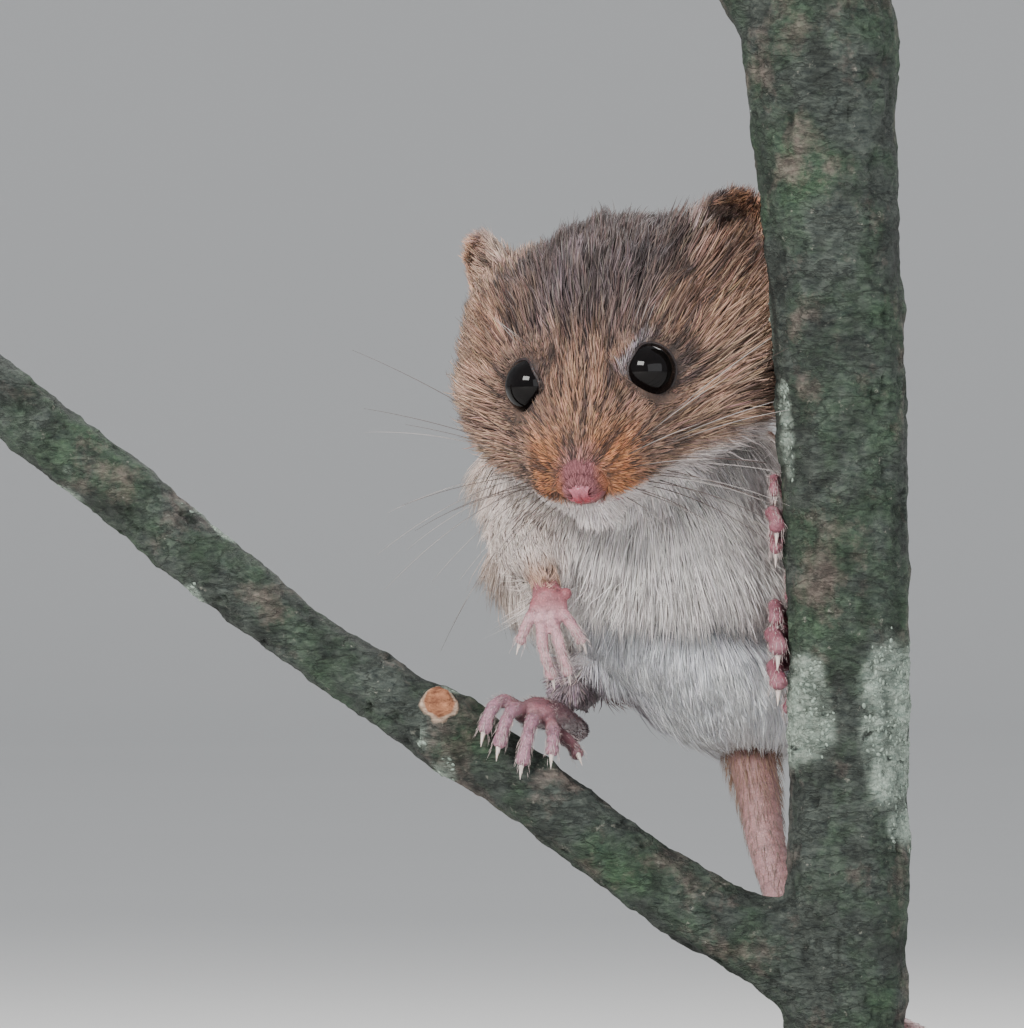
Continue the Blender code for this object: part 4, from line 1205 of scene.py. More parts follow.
GREY_VIOLET = np.array((0.215, 0.172, 0.180))
BROWN = np.array((0.272, 0.165, 0.120))
RUSSET = np.array((0.332, 0.190, 0.126))
TAN = np.array((0.490, 0.330, 0.245))
RUST = (0.475, 0.185, 0.072)
BRIDGE_BROWN = (0.350, 0.190, 0.118)
NOSE_SIDE = (0.36, 0.165, 0.150)
LID_HIGHLIGHT = (0.38, 0.34, 0.37)
CREAM = (0.690, 0.580, 0.515)
PALE_FLANK = (0.830, 0.730, 0.680)
BIB = np.array((0.720, 0.680, 0.665))
WHITE = (0.935, 0.945, 0.985)
RUMP_DUSK = (0.24, 0.150, 0.115)
CUFF = (0.46, 0.28, 0.20)
ANKLE = np.array((0.165, 0.095, 0.112))
EAR_BARE = np.array((0.27, 0.155, 0.135))
LILAC_GREY = (0.40, 0.345, 0.365)
SKIN_CELL, SKIN_GROWN = 0.18, 0.2


def part_of(shares, *names):
    """How far each point belongs to some furred parts of the body, taken together."""
    return sum(shares[:, FURRED.index(name)] for name in names)


def paleness(colours):
    """0 where the coat is brown and 1 where it is white."""
    return rise(colours.mean(axis=1), 0.30, 0.48)


def region_shares(points, edges, rounds):
    """How far each point belongs to each furred part of the body, smooth across their borders."""
    corners, faces, owners = [], [], []
    for number, node_name in enumerate(FURRED):
        bm = cad_shapes((node_name,))
        start = len(corners)
        bm.verts.index_update()
        corners += [vert.co.copy() for vert in bm.verts]
        for face in bm.faces:
            faces.append([start + vert.index for vert in face.verts])
            owners.append(number)
        bm.free()
    tree = BVHTree.FromPolygons(corners, faces)
    shares = np.zeros((len(points), len(FURRED)))
    for i, point in enumerate(points):
        shares[i, owners[tree.find_nearest(Vector(point))[2]]] = 1.0
    return relaxed(shares, edges, rounds)


def from_eyes(points):
    """The distance to the nearer eye's middle, the way from it and how many degrees outside its lids."""
    ways = [points - eye_middle(side) for side, _ in SIDES]
    reach = [np.linalg.norm(way, axis=1) for way in ways]
    past = [past_lids(points, side)[0] for side, _ in SIDES]
    near = reach[0] < reach[1]
    return np.where(near, *reach), unit(np.where(near[:, None], *ways)), np.where(near, *past)


def from_mouth(points):
    """The distance to the line of the mouth."""
    half = smooth_rows(MOUTH_LINE, 6)
    line = [head_at(*p) for p in half] + [head_at(-p[0], p[1], p[2]) for p in half]
    return np.min([away_from(points, p) for p in line], axis=0)


def from_nose(here):
    """The distance to the middle of the nose pad, in points of the head."""
    return away_from(here, NOSE_MIDDLE)


def from_ears(here):
    """The distance to the nearer ear's middle, in points of the head."""
    return np.minimum(away_from(here, (-5.45, -8.0, 0.8)), away_from(here, (6.1, -8.0, 1.65)))


def ear_facing(side):
    """The way up an ear and the way that its hollow faces."""
    axis = unit(head_way(side * 0.42, -0.5, 0.78))
    facing = head_way(side * 0.66, 0.68, 0.12)
    return axis, unit(facing - axis * facing.dot(axis))


def inside_ear(normals, shares):
    """1 in the hollow of an ear's cup."""
    mask = np.zeros(len(normals))
    for side, name in SIDES:
        facing = ear_facing(side)[1]
        mask = np.maximum(mask, part_of(shares, f"ear_{name}") * rise(normals @ facing, -0.05, 0.35))
    return mask


def sculpted(points, normals, shares):
    """The skin drawn in by the coat's depth, with its whisker pads, brows and lids."""
    here = in_head(points)
    side, forward, up = here.T
    x, y, z = points.T
    on_head = part_of(shares, "head")
    off_head = 1 - on_head
    depth = shares @ np.array([COAT_TABLE[name][4] for name in FURRED])
    for thin, share in (
        (0.14, rise(forward, 0.0, 5.0) * on_head),
        (0.16, rise(from_eyes(points)[0], 3.0, 1.7)),
        (0.05, rise(from_nose(here), 2.0, 1.2)),
    ):
        depth = depth * (1 - share) + thin * share
    swell = np.zeros(len(points))
    for which, _ in SIDES:
        pad = away_from(here, (which * 1.75, 4.4, -3.3), (1.0, 1.5, 1.0))
        brow = away_from(here, (which * 3.3, -0.6, 1.9), (1.6, 1.2, 0.7))
        swell += 0.20 * np.exp(-(pad / 0.95) ** 2)
        swell += 0.14 * np.exp(-brow**2)
    swell -= 0.14 * (np.exp(-(side / 0.16) ** 2) * rise(forward, 5.0, 6.0) * rise(up, -3.0, -3.6))
    behind_paw = rise(z, -3.5, -4.3) * rise(z, -6.6, -5.0) * rise(y, 9.0, 5.0) * rise(x, 1.5, 3.5)
    flank = rise(x, 4.5, 2.0) * rise(np.abs(z + 3.6), 3.2, 1.4) * rise(y, 1.0, 3.5) * rise(y, 13.0, 9.0)
    collar = np.exp(-(((x + 0.9) / 1.7) ** 2) - ((z - 3.1) / 1.9) ** 2) * rise(y, 11.0, 7.0)
    nape = np.exp(-(((x - 12.6) / 1.5) ** 2) - ((z - 4.7) / 1.8) ** 2) * rise(y, 9.0, 6.0)
    depth = depth + 0.45 * behind_paw * off_head
    depth = depth - 0.5 * flank * part_of(shares, "chest", "belly")
    depth = depth - 0.95 * np.maximum(collar, nape) * off_head
    depth = depth - 0.35 * rise(np.abs(side), 3.5, 5.5) * rise(up, -0.5, -3.0) * on_head
    depth = depth + 0.6 * np.exp(-(((side + 3.0) / 1.8) ** 2)) * rise(up, 1.0, 3.6) * on_head
    points = points + normals * (swell * on_head - depth - SKIN_GROWN)[:, None]
    for (which, name), longer in zip(SIDES, (0.9, 0.6)):
        axis = ear_facing(which)[0]
        along = rise((points - head_at(which * 5.8, -8.0, 1.2)) @ axis, -0.5, 2.2)
        points = points + axis * (longer * along * part_of(shares, f"ear_{name}"))[:, None]
    return points


def close_round_eyes(points):
    """Fits the skin of each socket to its eyeball and opens it along the edge of the lids."""
    shell, socket = EYE_RADIUS + 0.04, 2.7
    for side, _ in SIDES:
        past, reach = past_lids(points, side)
        outer = np.maximum(shell + (reach - 1.7) * (socket - shell), shell)
        drawn = mixed(outer, EYE_RADIUS - 0.28, rise(past, 9.0, -3.0) * rise(reach, 3.1, 2.35))
        drawn = np.where(reach < socket, drawn, mixed(reach, drawn, rise(reach, 3.1, socket)))
        drawn = (drawn / np.maximum(reach, 1e-6))[:, None]
        points = eye_middle(side) + (points - eye_middle(side)) * drawn
    return points


def streaks(points, on_head):
    """Noise from -1 to 1 in long narrow streaks that run with the lie of the coat."""
    side, forward, up = in_head(points).T
    turn = np.arctan2(side, up + 2.6 - 0.1 * (6.3 - forward))
    laid = np.column_stack((turn * 10.0, (6.6 - forward) * 0.42, np.zeros(len(points))))
    on_face = layered(laid, 0.62, 131, layers=2)
    on_body = layered(points, (0.45, 0.45, 2.8), 137, layers=2)
    return np.clip(mixed(on_body, on_face, on_head) * 1.5, -1, 1)


def streaked(colour, points, on_head):
    """The coat's colour broken into light and dark streaks, strong in the brown and faint in the white."""
    pale = paleness(colour)
    line = streaks(points, on_head)
    colour = colour * (1 + line * mixed(0.38, 0.07, pale))[:, None]
    return mixed(colour, BLACK_BROWN, rise(line, -0.10, -0.62) * (1 - pale) * 0.65)


def face_colour(points, here, patchy, wavy):
    """Dark crown, brown face, tan cheeks, rust muzzle and pale lips and throat, with a painted grey-violet
    sheen on the forehead and a painted highlight on one lid.
    """
    across, forward, up = here.T
    side = np.abs(across)
    reach, way, past = from_eyes(points)
    # painted sheen: grey-violet patches on the forehead where light glances off the hair
    forehead_sheen = rise(forward, 1.5, -0.8) * rise(forward, -7.0, -4.5) * rise(side, 3.8, 2.0) * rise(up, 1.2, 2.6)
    muzzle = rise(forward + 0.4 * wavy, 1.8, 4.0) * rise(up, -0.2, -1.8)
    muzzle = muzzle * rise(side, 0.20, 1.0) * rise(side, 3.2, 1.9)
    beside_nose = rise(from_nose(here), 2.4, 1.3) * rise(side, 1.5, 0.4)
    # painted highlight: a pale band just outside the lid, on its upper side towards the viewer's left, where
    # the key lamp is
    lid_highlight = rise(np.abs(past - 6), 4, 1) * rise(way @ unit(np.array((-0.85, -0.1, 0.5))), 0.30, 0.7)
    before_ear = rise(from_ears(here), 4.4, 3.0) * rise(across, 2.0, -2.0)
    throat = rise(-up + 0.30 * wavy - 0.06 * forward, 3.45, 4.3)
    lip = rise(forward, 2.4, 4.2) * rise(-up + 0.15 * wavy, 3.5, 4.0)
    return layers_of(
        BROWN,
        (CROWN, rise(up + 0.6 * wavy, 0.8, 3.2) * rise(side, 6.5, 4.0)),
        # painted sheen on the forehead
        (GREY_VIOLET, forehead_sheen * rise(patchy, -0.5, 0.6) * 0.5),
        (RUSSET, rise(side, 2.5, 5.5) * rise(up, 4.0, 1.0) * 0.7),
        (TAN, rise(side + 0.5 * wavy, 4.2, 6.6) * rise(up, 2.8, -1.2) * 0.75),
        (BRIDGE_BROWN, rise(forward, 0.0, 4.2) * rise(side, 2.4, 0.8) * 0.8),
        (TAN * (1.12, 1.08, 1.08), rise(up, -1.6, -3.2) * rise(side, 2.4, 4.4) * 0.7),
        (RUST, muzzle * (0.76 + 0.15 * patchy)),
        (NOSE_SIDE, beside_nose * 0.85),
        (CROWN * 0.7, rise(past, 16, 6) * rise(reach, 2.6, 2.0) * 0.45),
        # painted highlight on the lid of the eye at the mouse's left
        (LID_HIGHLIGHT, lid_highlight * (across > 0) * rise(reach, 2.2, 1.8) * 0.7),
        (TAN * 1.15, before_ear * rise(patchy, -0.6, 0.5) * 0.65),
        (BIB * (1.12, 1.08, 1.08), np.maximum(throat, lip)),
    )


def body_colour(points, normals, shares, wavy):
    """Brown back, tan flanks, pale bib and white belly, with dusky ankles and a dusky root of the tail, and
    painted shade on the belly under the bib's fringe.
    """
    x, y, z = points.T
    facing = normals @ unit(np.array((-0.05, -0.86, -0.5))) + 0.16 * wavy
    back = mixed(RUSSET, BROWN * 0.72, rise(normals[:, 1] + 0.2 * wavy, 0.35, 0.95))
    flank = mixed(TAN, back, rise(facing, 0.05, -0.55))
    pale = mixed(WHITE, BIB, rise(z + 0.5 * wavy, -4.6, -3.2))
    front = rise(y + 0.8 * wavy, 8.6, 5.6) * part_of(shares, "chest", "neck")
    cream = rise(x + 0.6 * wavy, 4.4, 1.8) * rise(z, -9.5, -7.0) * rise(y, 16, 10)
    # painted shade: the band on the belly just under the overhanging fringe of the bib
    shade_under_fringe = rise(z + 0.3 * wavy, -3.4, -4.2) * rise(z, -6.4, -5.2) * rise(y, 8, 5)
    cuff = rise(z + 0.4 * wavy, -1.2, -2.6) * rise(y, 2.2, 0.8) * rise(x, 0.0, 0.8)
    ankles = np.maximum(part_of(shares, "shank_right", "shank_left"), rise(z, -7.2, -8.8) * rise(x, 7.0, 5.0))
    return layers_of(
        flank,
        (pale, np.maximum(rise(facing, -0.22, 0.28), front)),
        (mixed(PALE_FLANK, CREAM, rise(y, 5.0, 9.0)), cream * 0.85),
        # painted shade under the bib's fringe, 0.70 of the colour in that band
        (0.70, shade_under_fringe * rise(x, 2.6, 4.2)),
        (RUMP_DUSK, rise(away_from(points, TAIL_ROOT), 3.4, 1.8) * 0.8),
        (mixed(PALE_FLANK, CUFF, cuff), part_of(shares, "foreleg_right", "foreleg_left") * 0.85),
        (ANKLE, ankles * 0.85),
    )


def coat_colour(points, normals, shares):
    """The colour of the coat over its outer half."""
    here = in_head(points)
    patchy = layered(points, 1.6, 17)
    wavy = layered(points, 2.6, 29)
    inner_side = rise(here[:, 0], -2.0, 2.0)
    ears = mixed(RUSSET * 1.1, TAN, rise(patchy, -0.3, 0.7) * mixed(0.7, 0.25, inner_side))
    ears = mixed(ears, GREY_VIOLET * 1.2, rise(here[:, 2] + 0.4 * wavy, 2.4, 4.2) * 0.55)
    ears = ears * (1 - 0.25 * inner_side)[:, None]
    ears = mixed(ears, RUSSET * (1.35, 1.2, 1.05), inside_ear(normals, shares) * 0.85)
    colour = layers_of(
        body_colour(points, normals, shares, wavy),
        (face_colour(points, here, patchy, wavy), part_of(shares, "head")),
        (ears, part_of(shares, *EARS)),
    )
    return colour * (1 + 0.12 * patchy)[:, None]


def same_way(way, points):
    return np.tile(np.array(way, float), (len(points), 1))


def body_flow(points):
    """The lie of the coat on neck, chest and belly: back from the head, down and in towards the tail."""
    x, y, z = points.T
    down = same_way((0, 0.06, -1.0), points)
    down[:, 0] = np.clip((x - 7.0) * 0.06, -0.4, 0.3)
    fluff = rise(x, 4.2, 2.2) * rise(np.abs(z + 5.0), 3.0, 1.5) * rise(y, 2.0, 4.0)
    return layers_of(
        down,
        (same_way((0, 0.95, 0.1), points), rise(z, 4.0, 8.5) * rise(y, 4.0, 9.0)),
        (unit(TAIL_ROOT - points), rise(z, -4.0, -11.0) * 0.55),
        (same_way((-0.30, -0.1, -0.95), points), fluff),
    )


def limb_flow(points, line):
    a, b, c = (np.array(p, float) for p in line)
    share = np.clip(((points - a) @ (c - a)) / ((c - a) @ (c - a)), 0, 1)
    return unit(mixed(same_way(b - a, points), same_way(c - b, points), rise(share, 0.2, 0.8)))


def flow_on(name, points):
    """The way that the hair of one part of the body lies."""
    if name == "head":
        sag = rise(in_head(points)[:, 2], -1.5, -4.5)[:, None]
        return unit(points - head_at(0, 6.6, -2.2)) + np.array((0, 0, -0.22)) * sag
    if name in EARS:
        return same_way(ear_facing(-1 if name == "ear_right" else 1)[0], points)
    if name in LIMB_WAYS:
        return limb_flow(points, LIMB_WAYS[name])
    return body_flow(points)


def coat_flow(points, normals, shares, edges):
    """The way that the hair lies at each point of the skin, along its surface and away from the eyes."""
    flow = np.zeros_like(points)
    for number, name in enumerate(FURRED):
        flow += shares[:, number, None] * unit(flow_on(name, points))
    flow = unit(laid_flat(relaxed(flow, edges, 6), normals))
    reach, away, _ = from_eyes(points)
    away = unit(laid_flat(away, normals))
    share = rise(reach, 3.0, 1.7)[:, None]
    inward = np.minimum(np.sum(flow * away, axis=1, keepdims=True), 0)
    return unit(flow - away * inward * share + away * 0.25 * share)


class Coat:
    """What a root of the coat needs to know, at each point of the skin."""

    def __init__(self, mesh, shares):
        mesh.calc_loop_triangles()
        self.triangles = read(mesh.loop_triangles, "vertices", 3, np.int32)
        self.points = points_of(mesh)
        self.normals = normals_of(mesh)
        self.shares = shares
        edges = edges_of(mesh)
        self.here = in_head(self.points)
        self.on_head = part_of(shares, "head")
        self.hollow = inside_ear(self.normals, shares)
        self.flow = coat_flow(self.points, relaxed(self.normals, edges, 4), shares, edges)
        self.colour = coat_colour(self.points, relaxed(self.normals, edges, 10), shares)
        nose = rise(from_nose(self.here), 1.25, 1.05) * self.on_head
        self.bare = np.maximum(rise(from_mouth(self.points), 0.30, 0.12), nose)
        table = shares @ np.array([COAT_TABLE[name][:4] for name in FURRED])
        self.at = dict(zip(("length", "lift", "width", "dense"), table.T))
        self.comb_face()
        self.comb_body()
        self.numbers = np.column_stack((*self.at.values(), self.on_head, part_of(shares, *EARS), self.hollow))

    def towards(self, share, **aims):
        """Draws some of the coat's numbers towards an aim for each, where share is 1."""
        for key, aim in aims.items():
            self.at[key] = mixed(self.at[key], aim, share)

    def more(self, share, lift=0.0, **parts):
        """Lifts the hair by some degrees and makes its other numbers larger by a part of themselves."""
        self.at["lift"] = self.at["lift"] + lift * share
        for key, part in parts.items():
            self.at[key] = self.at[key] * (1 + part * share)

    def thinned(self, *shares):
        for share in shares:
            self.at["dense"] = self.at["dense"] * share

    def comb_face(self):
        """Short hair on the muzzle and round the eyes, longer on cheeks, chin and throat, and in the ears."""
        side, forward, up = np.abs(self.here[:, 0]), self.here[:, 1], self.here[:, 2]
        on_head = self.on_head
        reach, away, past = from_eyes(self.points)
        muzzle = rise(forward, -0.5, 5.2) * on_head
        self.towards(muzzle, length=0.55, width=0.030, lift=24.0)
        self.more(muzzle, dense=0.9)
        self.more(rise(side, 3.2, 6.0) * rise(up, 1.0, -3.0) * on_head, length=0.40, lift=8.0)
        self.more(rise(up, -4.4, -6.2) * rise(forward, 4.5, 1.0) * on_head, length=0.5)
        self.towards(rise(up, -3.9, -4.5) * rise(forward, 1.5, 3.5) * on_head, length=1.15)
        close = rise(reach, 3.0, 1.7)
        self.towards(close, length=0.62, width=0.030, lift=26.0)
        self.more(close, dense=0.7)
        self.towards(rise(past, 9.0, 3.0) * rise(reach, 2.9, 2.4), length=0.45, lift=27.0)
        self.thinned(np.where(reach < 2.6, rise(past, -9.0, -2.0), 1.0))
        by_rim = rise(past, 32, 12) * rise(reach, 2.2, 1.8)
        self.towards(by_rim, lift=33.0)
        self.more(by_rim, dense=1.4)
        facing_out = np.sum(away * self.normals, axis=1)
        self.thinned(
            np.where(reach < 1.78, rise(past, 4.0, 7.0), 1.0),
            np.where(reach < 1.78, rise(facing_out, -0.6, -0.1), 1.0),
            rise(from_nose(self.here), 0.98, 1.14), rise(from_mouth(self.points), 0.10, 0.24),
        )
        before_ear = rise(from_ears(self.here), 4.4, 3.2) * on_head * rise(forward, -9.0, -7.5)
        inner = rise(self.here[:, 0], 2.0, 3.5) * rise(up, 1.0, 2.5)
        self.towards(before_ear, length=1.9 + 1.0 * inner, lift=24.0 + 12.0 * inner)
        self.more(rise(from_stem(self.points), 4.2, 1.6) * on_head, length=0.5, lift=16.0)
        deep_in_ear = rise(from_ears(self.here), 2.4, 1.4)
        self.towards(self.hollow, length=mixed(0.9, 1.7, deep_in_ear), lift=38.0)
        self.more(self.hollow, dense=-0.2)

    def comb_body(self):
        """A long fringe over the belly, fluff on the flank and coarser tufts on the far side."""
        x, y, z = self.points.T
        off_head = 1 - self.on_head
        fringe = part_of(self.shares, "chest") * rise(z, -0.5, -3.2) * rise(y, 9.0, 4.0)
        self.more(fringe, length=0.35, lift=12.0)
        fluff = rise(x, 3.8, 2.2) * rise(np.abs(z + 5.0), 3.0, 1.5) * rise(y, 2.0, 4.0) * off_head
        self.more(fluff, length=0.10, lift=3.0)
        knee = part_of(self.shares, "thigh_right") * rise(y, 10.5, 8.0)
        self.towards(knee, length=0.65, lift=8.0)
        self.more(knee, dense=1.2)
        bark = from_stem(self.points)
        beside_stem = rise(bark, 3.5, 1.2) * rise(z, 1.0, 3.0) * rise(y, 8.0, 5.0) * off_head
        self.more(beside_stem, length=0.3, lift=20.0)
        self.more(rise(y, 6.0, 13.0) * off_head, dense=-0.52, width=0.55)
        self.thinned(rise(bark, 0.02, 0.15))

    def roots(self, total):
        """Evenly spread roots, denser where the coat is: positions, normals, ways, numbers and colours."""
        corners = self.points[self.triangles]
        edge, other = corners[:, 1] - corners[:, 0], corners[:, 2] - corners[:, 0]
        area = np.linalg.norm(np.cross(edge, other), axis=1) / 2
        weight = np.cumsum(area * self.numbers[self.triangles, 3].mean(axis=1))
        steps = (np.arange(total) + DICE.random(total)) * weight[-1] / total
        first, second = DICE.random((2, total))
        root = np.sqrt(first)
        mix = np.column_stack((1 - root, root * (1 - second), root * second))[:, :, None]
        pick = self.triangles[np.searchsorted(weight, steps)]
        kinds = (self.points, self.normals, self.flow, self.numbers, self.colour)
        return [np.sum(values[pick] * mix, axis=1) for values in kinds]


def clumped(roots, lengths, per):
    """For each root, the root at the heart of its clump, and how strongly it is drawn there."""
    chosen = DICE.choice(len(roots), max(len(roots) // per, 1), replace=False)
    tree = KDTree(len(chosen))
    for i, k in enumerate(chosen):
        tree.insert(roots[k], i)
    tree.balance()
    found = [tree.find(root) for root in roots]
    heart = chosen[[hit[1] for hit in found]]
    return heart, rise(np.array([hit[2] for hit in found]) / lengths, 0.8, 0.15)


def tuft_spines(roots, ups, ways, lengths, lifts, rings, bend=0.06):
    """Points along each tuft, from its root out, bent down along the body, and the way across it."""
    count = len(roots)
    side = np.cross(ways, ups)
    turn = 0.12 * DICE.standard_normal(count) + 0.22 * layered(roots, 2.2, 83)
    ways = unit(ways * np.cos(turn)[:, None] + side * np.sin(turn)[:, None])
    angle = np.radians(lifts) * (1 + 0.22 * DICE.standard_normal(count))
    share = np.linspace(0, 1, rings + 1) ** 0.85
    forward = np.cos(angle)[:, None] * share
    upward = np.sin(angle)[:, None] * (share - 0.42 * share**2)
    sideways = (bend * DICE.standard_normal(count))[:, None] * share**2
    sunk = np.minimum(0.06, 0.03 * lengths)[:, None]
    lengths = lengths[:, None]
    spine = (
        roots[:, None]
        + ways[:, None] * (lengths * forward)[..., None]
        + ups[:, None] * (lengths * upward - sunk)[..., None]
        + side[:, None] * (lengths * sideways)[..., None]
    )
    return spine, side


def gathered(spine, heart, near, strength):
    """The tufts with their tips drawn together in clumps."""
    share = np.linspace(0, 1, spine.shape[1])
    pull = spine[heart, -1] - spine[:, -1]
    drawn = strength * near * (0.5 + DICE.random(len(spine)))
    return spine + pull[:, None] * (drawn[:, None] * share**2)[..., None]


COAT_OFF_BARK = 0.10
CLEAR_OF_LIDS, MOST_BENT = 3.5, 24  # degrees


def clear_of_stem(spine):
    """The same points, pressed flat against the stem where they would run into it."""
    flat = spine.reshape(-1, 3)
    out = unit(flat - stem_axis(flat))
    return (flat + out * np.maximum(COAT_OFF_BARK - from_stem(flat), 0)[:, None]).reshape(spine.shape)


def clear_of_eyes(spine):
    """The tufts bent aside where they would hang over the eyes, and which bend little enough to keep."""
    flat = spine.reshape(-1, 3)
    most = np.zeros(len(spine))
    for side, _ in SIDES:
        way = eye_frame(side)[0]
        past, reach = past_lids(flat, side)
        out = flat - eye_middle(side)
        across = unit(out - way * (out @ way)[:, None])
        at_root = past.reshape(len(spine), -1)[:, 0]
        rooted_outside = np.repeat(at_root > CLEAR_OF_LIDS, spine.shape[1])
        over = np.maximum(CLEAR_OF_LIDS - past, 0) * rise(reach, 3.0, 2.1) * rooted_outside
        turn = np.arccos(np.clip(out @ way / reach, -1, 1)) + np.radians(over)
        aside = (way * np.cos(turn)[:, None] + across * np.sin(turn)[:, None]) * reach[:, None]
        flat = np.where((over > 0)[:, None], eye_middle(side) + aside, flat)
        most = np.maximum(most, over.reshape(len(spine), -1).max(axis=1))
    return flat.reshape(spine.shape), most < MOST_BENT


TUFT_FLAT = 0.7
PATCH_WIDE, PATCH_TALL = 0.0011, 0.003


def tuft_mesh(name, spine, side, widths, colours, patches):
    """Closed, tapered, three-sided tufts as one mesh. Each has a small patch of its own on the OFBake map."""
    count, rings = spine.shape[0], spine.shape[1] - 1
    along = unit(np.gradient(spine, axis=1))
    across = unit(laid_flat(side[:, None], along))
    over = np.cross(along, across)
    share = np.linspace(0, 1, rings + 1)
    swelling = 0.72 + 0.28 * np.sin(np.pi * np.clip(share * 1.4 + 0.15, 0, 1))
    size = widths[:, None] * (np.sqrt(np.clip(1 - share**1.6, 0, 1)) * swelling)[None]
    turn = 2 * np.pi * np.arange(3) / 3 + np.pi / 2
    broad, thin = np.cos(turn)[:, None], (TUFT_FLAT * np.sin(turn))[:, None]
    spokes = (across[:, :-1, None] * broad + over[:, :-1, None] * thin) * size[:, :-1, None, None]
    body = (spine[:, :-1, None] + spokes).reshape(count, rings * 3, 3)
    points = np.concatenate([body, spine[:, -1:]], axis=1)
    each = rings * 3 + 1
    faces = [(0, 2, 1)]
    offsets = np.zeros((each, 2))
    offsets[-1] = (0, PATCH_TALL / 2)
    for ring in range(rings):
        for k in range(3):
            a, b = ring * 3 + k, ring * 3 + (k + 1) % 3
            offsets[a] = ((k - 1) * PATCH_WIDE, (ring / rings - 0.5) * PATCH_TALL)
            faces += [(a, b, b + 3), (a, b + 3, a + 3)] if ring < rings - 1 else [(a, b, each - 1)]
    whole = (np.array(faces)[None] + (np.arange(count) * each)[:, None, None]).reshape(-1, 3)
    mesh = new_mesh(name, points.reshape(-1, 3), whole)
    tone = np.repeat(colours, 3, axis=1)[:, : rings * 3]
    paint(mesh, np.concatenate([tone, colours[:, -1:]], axis=1).reshape(-1, 3))
    place = (patches[:, None] + offsets[None]).reshape(-1, 2)
    layer = mesh.uv_layers.new(name="OFBake")
    layer.data.foreach_set("uv", np.clip(place[whole.ravel()], 0, 1).astype(np.float32).ravel())
    return mesh


def unwrapped(across, back, along, low, tall):
    """Skin laid flat: round a long axis, and along it from low on."""
    around = np.arctan2(across, back) / (2 * np.pi) + 0.5
    return np.column_stack((around, np.clip((along - low) / tall, 0, 1)))


def head_unwrap(points):
    side, forward, up = in_head(points).T
    return unwrapped(side, up + 1.5, forward, -13.0, 20.0)


def body_unwrap(points):
    return unwrapped(points[:, 0] - 8.5, points[:, 1] - 10.0, points[:, 2], -14.0, 26.0)


def packed(places):
    """The same places spread over the whole of the map."""
    low, high = places.min(axis=0), places.max(axis=0)
    return 0.004 + 0.992 * (places - low) / np.maximum(high - low, 1e-6)


def strand_colours(middle, rings, guard, pale, clump):
    """Colours from root to tip: slate at the root, the coat's own colour, then a light or a black tip."""
    count = len(middle)
    uneven = mixed(0.12, 0.06, pale) * DICE.standard_normal(count) + mixed(0.20, 0.05, pale) * clump
    lively = middle * (1 + uneven)[:, None]
    lively = lively * (1 + mixed(0.05, 0.015, pale)[:, None] * DICE.standard_normal((count, 3)))
    lively = np.maximum(lively, 0.012)
    tip = mixed(lively * 1.35, lively * 1.12, pale)
    tip = mixed(tip, LILAC_GREY, (DICE.random(count) < 0.25) * (1 - pale) * 0.5)
    dark = DICE.random(count) < mixed(0.20, 0.0, pale)
    dark = dark | (guard & (DICE.random(count) < mixed(0.8, 0.03, pale)))
    tip = np.where(dark[:, None], BLACK_BROWN * 0.8, tip)
    root = mixed(mixed(SLATE * 0.6, lively, 0.2), lively * 0.93, pale)
    made = np.zeros((count, rings + 1, 3))
    for ring, share in enumerate(np.linspace(0, 1, rings + 1)):
        tone = mixed(root, lively, float(rise(share, 0.0, 0.5)))
        made[:, ring] = mixed(tone, tip, float(rise(share, 0.5, 1.0)))
    return made


COAT_TOTAL = 87000
HEAD_COATS = ("face_coat", "ear_coat", "crown_coat", "cheek_coat")
MOST_FACES = 199000
CLUMP = 12
DRAWN_TOGETHER, DRAWN_ON_FACE = 0.45, 0.30
GUARD_SHARE, GUARD_LONGER, GUARD_THINNER, GUARD_STEEPER = 0.06, 1.30, 0.75, 1.25


def coat_groups(roots, on_head, on_ears):
    """Which roots belong to each piece of the coat."""
    _, forward, up = in_head(roots).T
    head, face = on_head > 0.5, forward > -1.5
    front, bib, back = roots[:, 1] < 6.5, roots[:, 2] > -3.4, roots[:, 2] > 0.5
    groups = {
        "face_coat": head & face,
        "crown_coat": head & ~face & (up > -0.5),
        "cheek_coat": head & ~face & (up <= -0.5),
        "ear_coat": on_ears > 0.5,
    }
    rest = ~np.any(list(groups.values()), axis=0)
    groups["bib_coat"] = rest & front & bib
    groups["belly_coat"] = rest & front & ~bib
    groups["back_coat"] = rest & ~front & back
    groups["rump_coat"] = rest & ~front & ~back
    return groups


